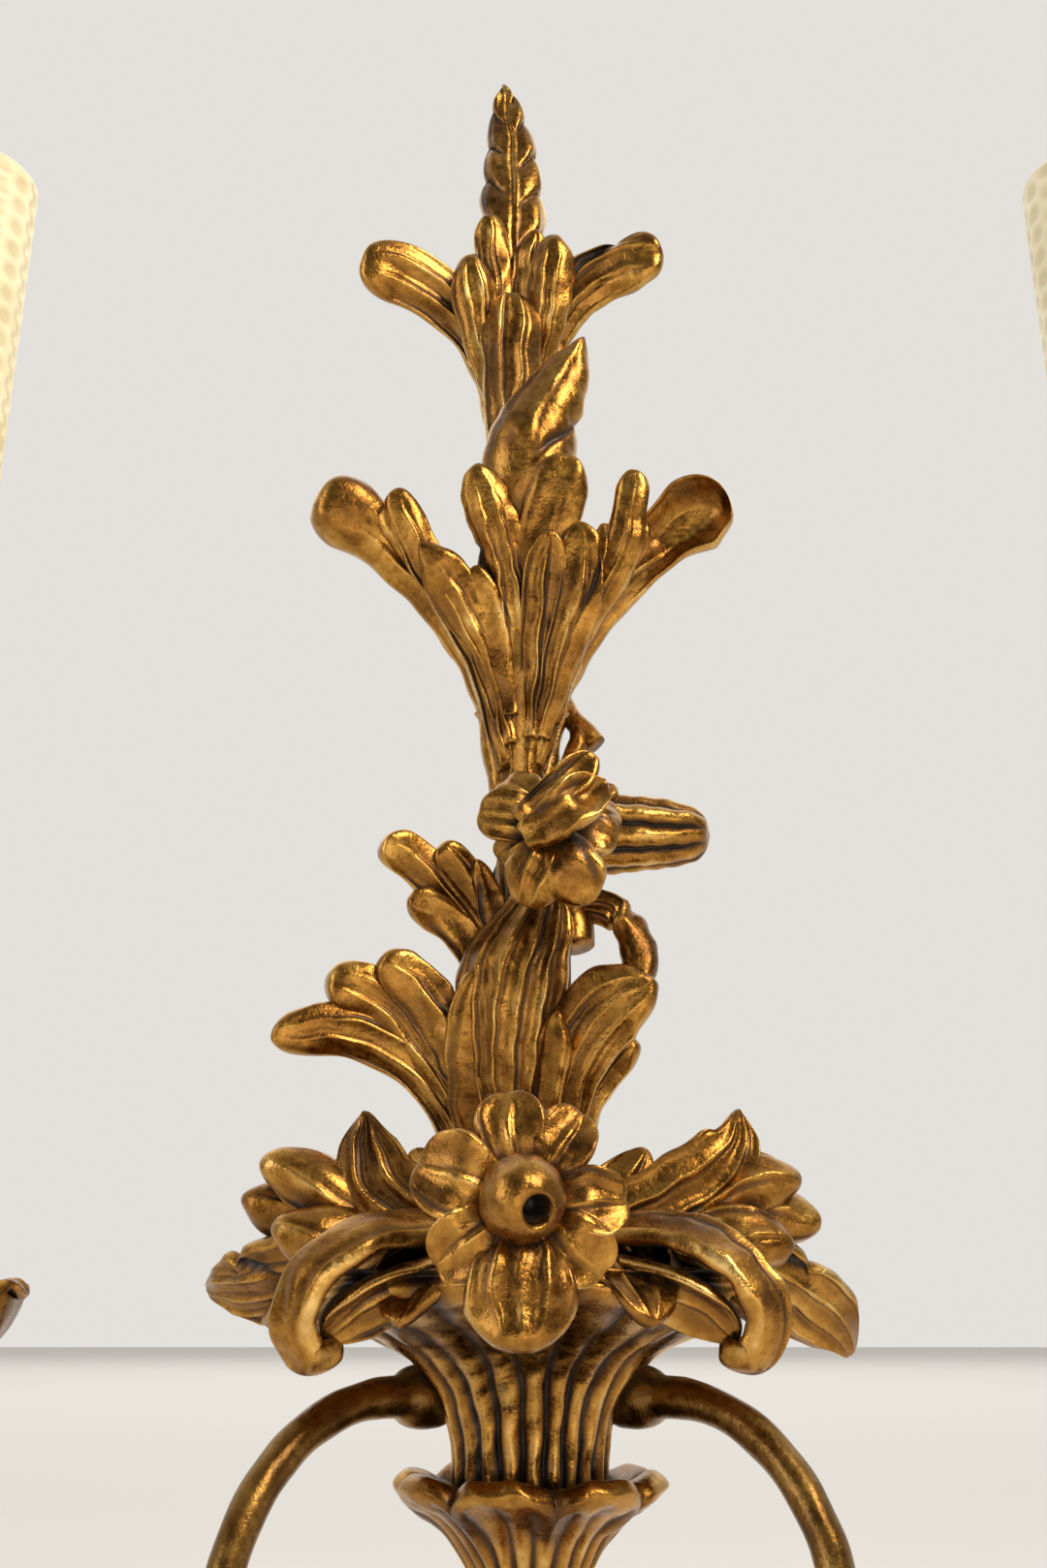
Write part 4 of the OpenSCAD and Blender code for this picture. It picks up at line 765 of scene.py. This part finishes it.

# ---------- the candles ----------
# Beeswax sheet stamped with a honeycomb and rolled: cream, softly translucent, with a soft shine and
# an end that has rounded over, on a plaited cotton wick. The pressed-in cells are coloured darker:
# painted shade.

BEESWAX, tree, shader = new_material("rolled_beeswax_sheet")
where = add(tree, "ShaderNodeTexCoord").outputs["Object"]
bloom_mm = 16.6667
bloom = add(tree, "ShaderNodeTexNoise", Vector=where, Scale=1000 / bloom_mm,
            Detail=3.0).outputs["Fac"]
cream = add(tree, "ShaderNodeValToRGB", {"stops": ((0.3, "#d6cba4"), (0.7, "#e8e0c2"))}, Fac=bloom)
# Each pressed-in cell is mixed towards #b3a170: painted shade.
cell = add(tree, "ShaderNodeAttribute", {"attribute_name": "cut"}).outputs["Fac"]
shade = add(tree, "ShaderNodeMath", {"operation": "MULTIPLY"}, i0=cell, i1=0.45).outputs[0]
waxy = add(tree, "ShaderNodeMix", {"data_type": "RGBA"}, i0=shade, i6=cream.outputs["Color"],
           i7=linear("#b3a170"))
tree.links.new(waxy.outputs[2], shader.inputs["Base Color"])
shader.inputs["Roughness"].default_value = 0.42
shader.inputs["Subsurface Weight"].default_value = 0.3
shader.inputs["Subsurface Radius"].default_value = (0.006, 0.0045, 0.002)
shader.inputs["Subsurface Scale"].default_value = 0.5

COTTON, tree, shader = new_material("plaited_cotton_wick")
strand_mm = 0.666667
strands = add(tree, "ShaderNodeTexNoise", Scale=1000 / strand_mm, Detail=2.0,
              Vector=add(tree, "ShaderNodeTexCoord").outputs["Object"]).outputs["Fac"]
thread = add(tree, "ShaderNodeValToRGB", {"stops": ((0.3, "#a99f87"), (0.7, "#e6dfcc"))},
             Fac=strands)
tree.links.new(thread.outputs["Color"], shader.inputs["Base Color"])
shader.inputs["Roughness"].default_value = 0.9


def honeycomb_candle(radius, length, cells=15, around=150, rows=520, press=0.5):
    """A cylinder whose wall is pressed in inside each hexagon: three sets of stripes that cross at
    60 degrees add up to a lattice, and the wall stands where their sum is low."""
    a = np.linspace(0, 2 * np.pi, around, endpoint=False)[None, :]
    v = np.linspace(0, 1, rows)[:, None]
    x, z = radius * a, v * length
    k = cells / radius
    ways = (0, math.pi / 3, -math.pi / 3)
    lattice = sum(np.cos(k * (x * math.cos(m) + z * math.sin(m))) for m in ways)
    wall = np.clip(1 - (lattice + 1.5) / 4.5 * 1.6, 0, 1)
    inside = smooth(v, 0.004, 0.02) * (1 - smooth(v, 0.985, 0.995))
    r = radius * (1 - 0.2 * smooth(v, 0.985, 1.0) ** 2) - press * (1 - wall) * inside
    return np.stack([r * np.cos(a), r * np.sin(a), z + 0 * a], -1), (1 - wall) * inside


wick_tall, inside_design = 8, 0.05
for side in ("left", "right"):
    node = "candle_" + side
    low, high = corners(node)
    radius, length = (high[0] - low[0]) / 2, high[2] - low[2] - wick_tall
    axis = np.array([(low[0] + high[0]) / 2, (low[1] + high[1]) / 2, low[2]])
    rings, cells = honeycomb_candle(radius - inside_design, length)
    piece(node, [closed(rings + axis, cells)], BEESWAX, node)
    rings, cut = reeded([length - 2, length + 2, length + 6, length + 7.6], [1.1, 1.05, 1, 0.1], 5,
                        [0.1, 0.2, 0.2, 0], around=30, along_n=24)
    rings[..., 0] += 0.07 * (rings[..., 2] - length)
    piece("wick_" + side, [closed(rings + axis, cut)], COTTON, node, stands_for=False)

# ---------- the back: blocks, pegs, screws and the hanging wire ----------
# Bare limewood blocks and beech pegs, zinc-plated screws and eyes, and a loop of black annealed
# wire. They are the design's own pieces and only take their finish here.


def finish_nodes(material, *nodes):
    """Puts a material on CAD nodes that show as they are."""
    for node in nodes:
        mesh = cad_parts[node].data
        mesh.materials.clear()
        mesh.materials.append(material)


# Bare wood shows its grain along the length, in rings 1.5 mm apart in lime and 0.8 mm in beech.
for name, light, dark, ring_mm, nodes in (
    ("bare_limewood", "#b08a5c", "#7d5a36", 1.5, ("wall_block", "hanger_block")),
    ("beech_peg", "#c9a173", "#a07a50", 0.8, ("leaf_pins", "center_dowel")),
):
    wood, tree, shader = new_material(name)
    where = add(tree, "ShaderNodeTexCoord").outputs["Object"]
    grain = add(tree, "ShaderNodeMapping", Vector=where, Scale=(1.0, 1.0, 0.12)).outputs[0]
    grain = add(tree, "ShaderNodeTexNoise", Vector=grain, Scale=1000 / ring_mm,
                Detail=5.0).outputs["Fac"]
    colour = add(tree, "ShaderNodeValToRGB", {"stops": ((0.35, dark), (0.65, light))}, Fac=grain)
    tree.links.new(colour.outputs["Color"], shader.inputs["Base Color"])
    shader.inputs["Roughness"].default_value = 0.7
    bump = add(tree, "ShaderNodeBump", Height=grain, Strength=0.3, Distance=0.0003)
    tree.links.new(bump.outputs[0], shader.inputs["Normal"])
    finish_nodes(wood, *nodes)

# Zinc plate is cool and satin; annealed wire keeps a black scale. Both are blotched 2.5 mm across.
blotch_mm = 2.5
for name, dark, light, metal, shine, nodes in (
    ("zinc_plate", "#8d8f90", "#b9bcbd", 1.0, 0.3, ("block_screws", "screw_eyes")),
    ("annealed_wire", "#141312", "#2a2826", 0.6, 0.5, ("hanging_loop",)),
):
    plain, tree, shader = new_material(name)
    where = add(tree, "ShaderNodeTexCoord").outputs["Object"]
    stain = add(tree, "ShaderNodeTexNoise", Vector=where, Scale=1000 / blotch_mm,
                Detail=4.0).outputs["Fac"]
    colour = add(tree, "ShaderNodeValToRGB", {"stops": ((0.3, dark), (0.7, light))}, Fac=stain)
    tree.links.new(colour.outputs["Color"], shader.inputs["Base Color"])
    rough = add(tree, "ShaderNodeMapRange", i0=stain, i1=0.3, i2=0.7, i3=shine, i4=shine + 0.2)
    tree.links.new(rough.outputs[0], shader.inputs["Roughness"])
    shader.inputs["Metallic"].default_value = metal
    finish_nodes(plain, *nodes)

finish_nodes(ARM_GILT, "pan_nuts")

# ---------- the studio ----------
# A pale floor, a pale backdrop of sky that is darker on the camera's side so that the gold has
# something to mirror, three soft lamps, and a wide one that lights the floor far behind.

floor_size, floor_gap = 60, 0.02
bpy.ops.mesh.primitive_grid_add(size=floor_size, x_subdivisions=2, y_subdivisions=2,
                                location=(0, 0, cad_box[0][2] - floor_gap))
floor = bpy.context.object
floor.name = "studio_floor"
pale, tree, shader = new_material("pale_floor")
shader.inputs["Base Color"].default_value = linear("#e9e6e1")
shader.inputs["Roughness"].default_value = 0.9
floor.data.materials.append(pale)

world = bpy.data.worlds.new("studio")
bpy.context.scene.world = world
world.use_nodes = True
tree = world.node_tree
sky = tree.nodes["Background"]
sky.inputs["Color"].default_value = linear("#eeebe6")
way = add(tree, "ShaderNodeTexCoord").outputs["Generated"]
lean_back = add(tree, "ShaderNodeVectorMath", {"operation": "DOT_PRODUCT"}, i0=way,
                i1=(0.0, 0.8, 0.6)).outputs["Value"]
bright = add(tree, "ShaderNodeMapRange", {"interpolation_type": "SMOOTHSTEP"}, i0=lean_back,
             i1=-0.2, i2=0.6, i3=0.2, i4=0.9).outputs[0]
tree.links.new(bright, sky.inputs["Strength"])
bpy.context.scene.view_settings.view_transform = "Standard"

sconce_middle, far_floor = (0, -0.05, 0), (0, 7, -0.34)
for name, where, target, size, power, colour in (
    ("key", (0.75, -0.95, 0.75), sconce_middle, (0.35, 0.5), 18, "#fff3e0"),
    ("fill", (-1.1, -0.8, 0.25), sconce_middle, (0.3, 1.0), 6, "#f6f4fa"),
    ("low", (0.2, -1.3, -0.25), sconce_middle, (0.8, 0.15), 2.0, "#fff6ea"),
    ("far", (0, 6.8, 5.0), far_floor, (12.0, 12.0), 330, "#fbfaf8"),
):
    data = bpy.data.lights.new(name, "AREA")
    data.shape, data.size, data.size_y = "RECTANGLE", size[0], size[1]
    data.energy, data.color = power, linear(colour)[:3]
    lamp = bpy.data.objects.new(name, data)
    bpy.context.scene.collection.objects.link(lamp)
    lamp.location = where
    lamp.rotation_euler = (Vector(target) - Vector(where)).to_track_quat("-Z", "Y").to_euler()
    lamp.visible_camera = False

camera_data = bpy.data.cameras.new("camera")
camera_data.lens, camera_data.sensor_width = 35.0, 36.0
camera = bpy.data.objects.new("camera", camera_data)
bpy.context.scene.collection.objects.link(camera)
camera.location = (-0.0015, -0.407, -0.127)
level, tilt_up = 90, 19.885
camera.rotation_euler = (math.radians(level + tilt_up), 0, 0)
bpy.context.scene.camera = camera
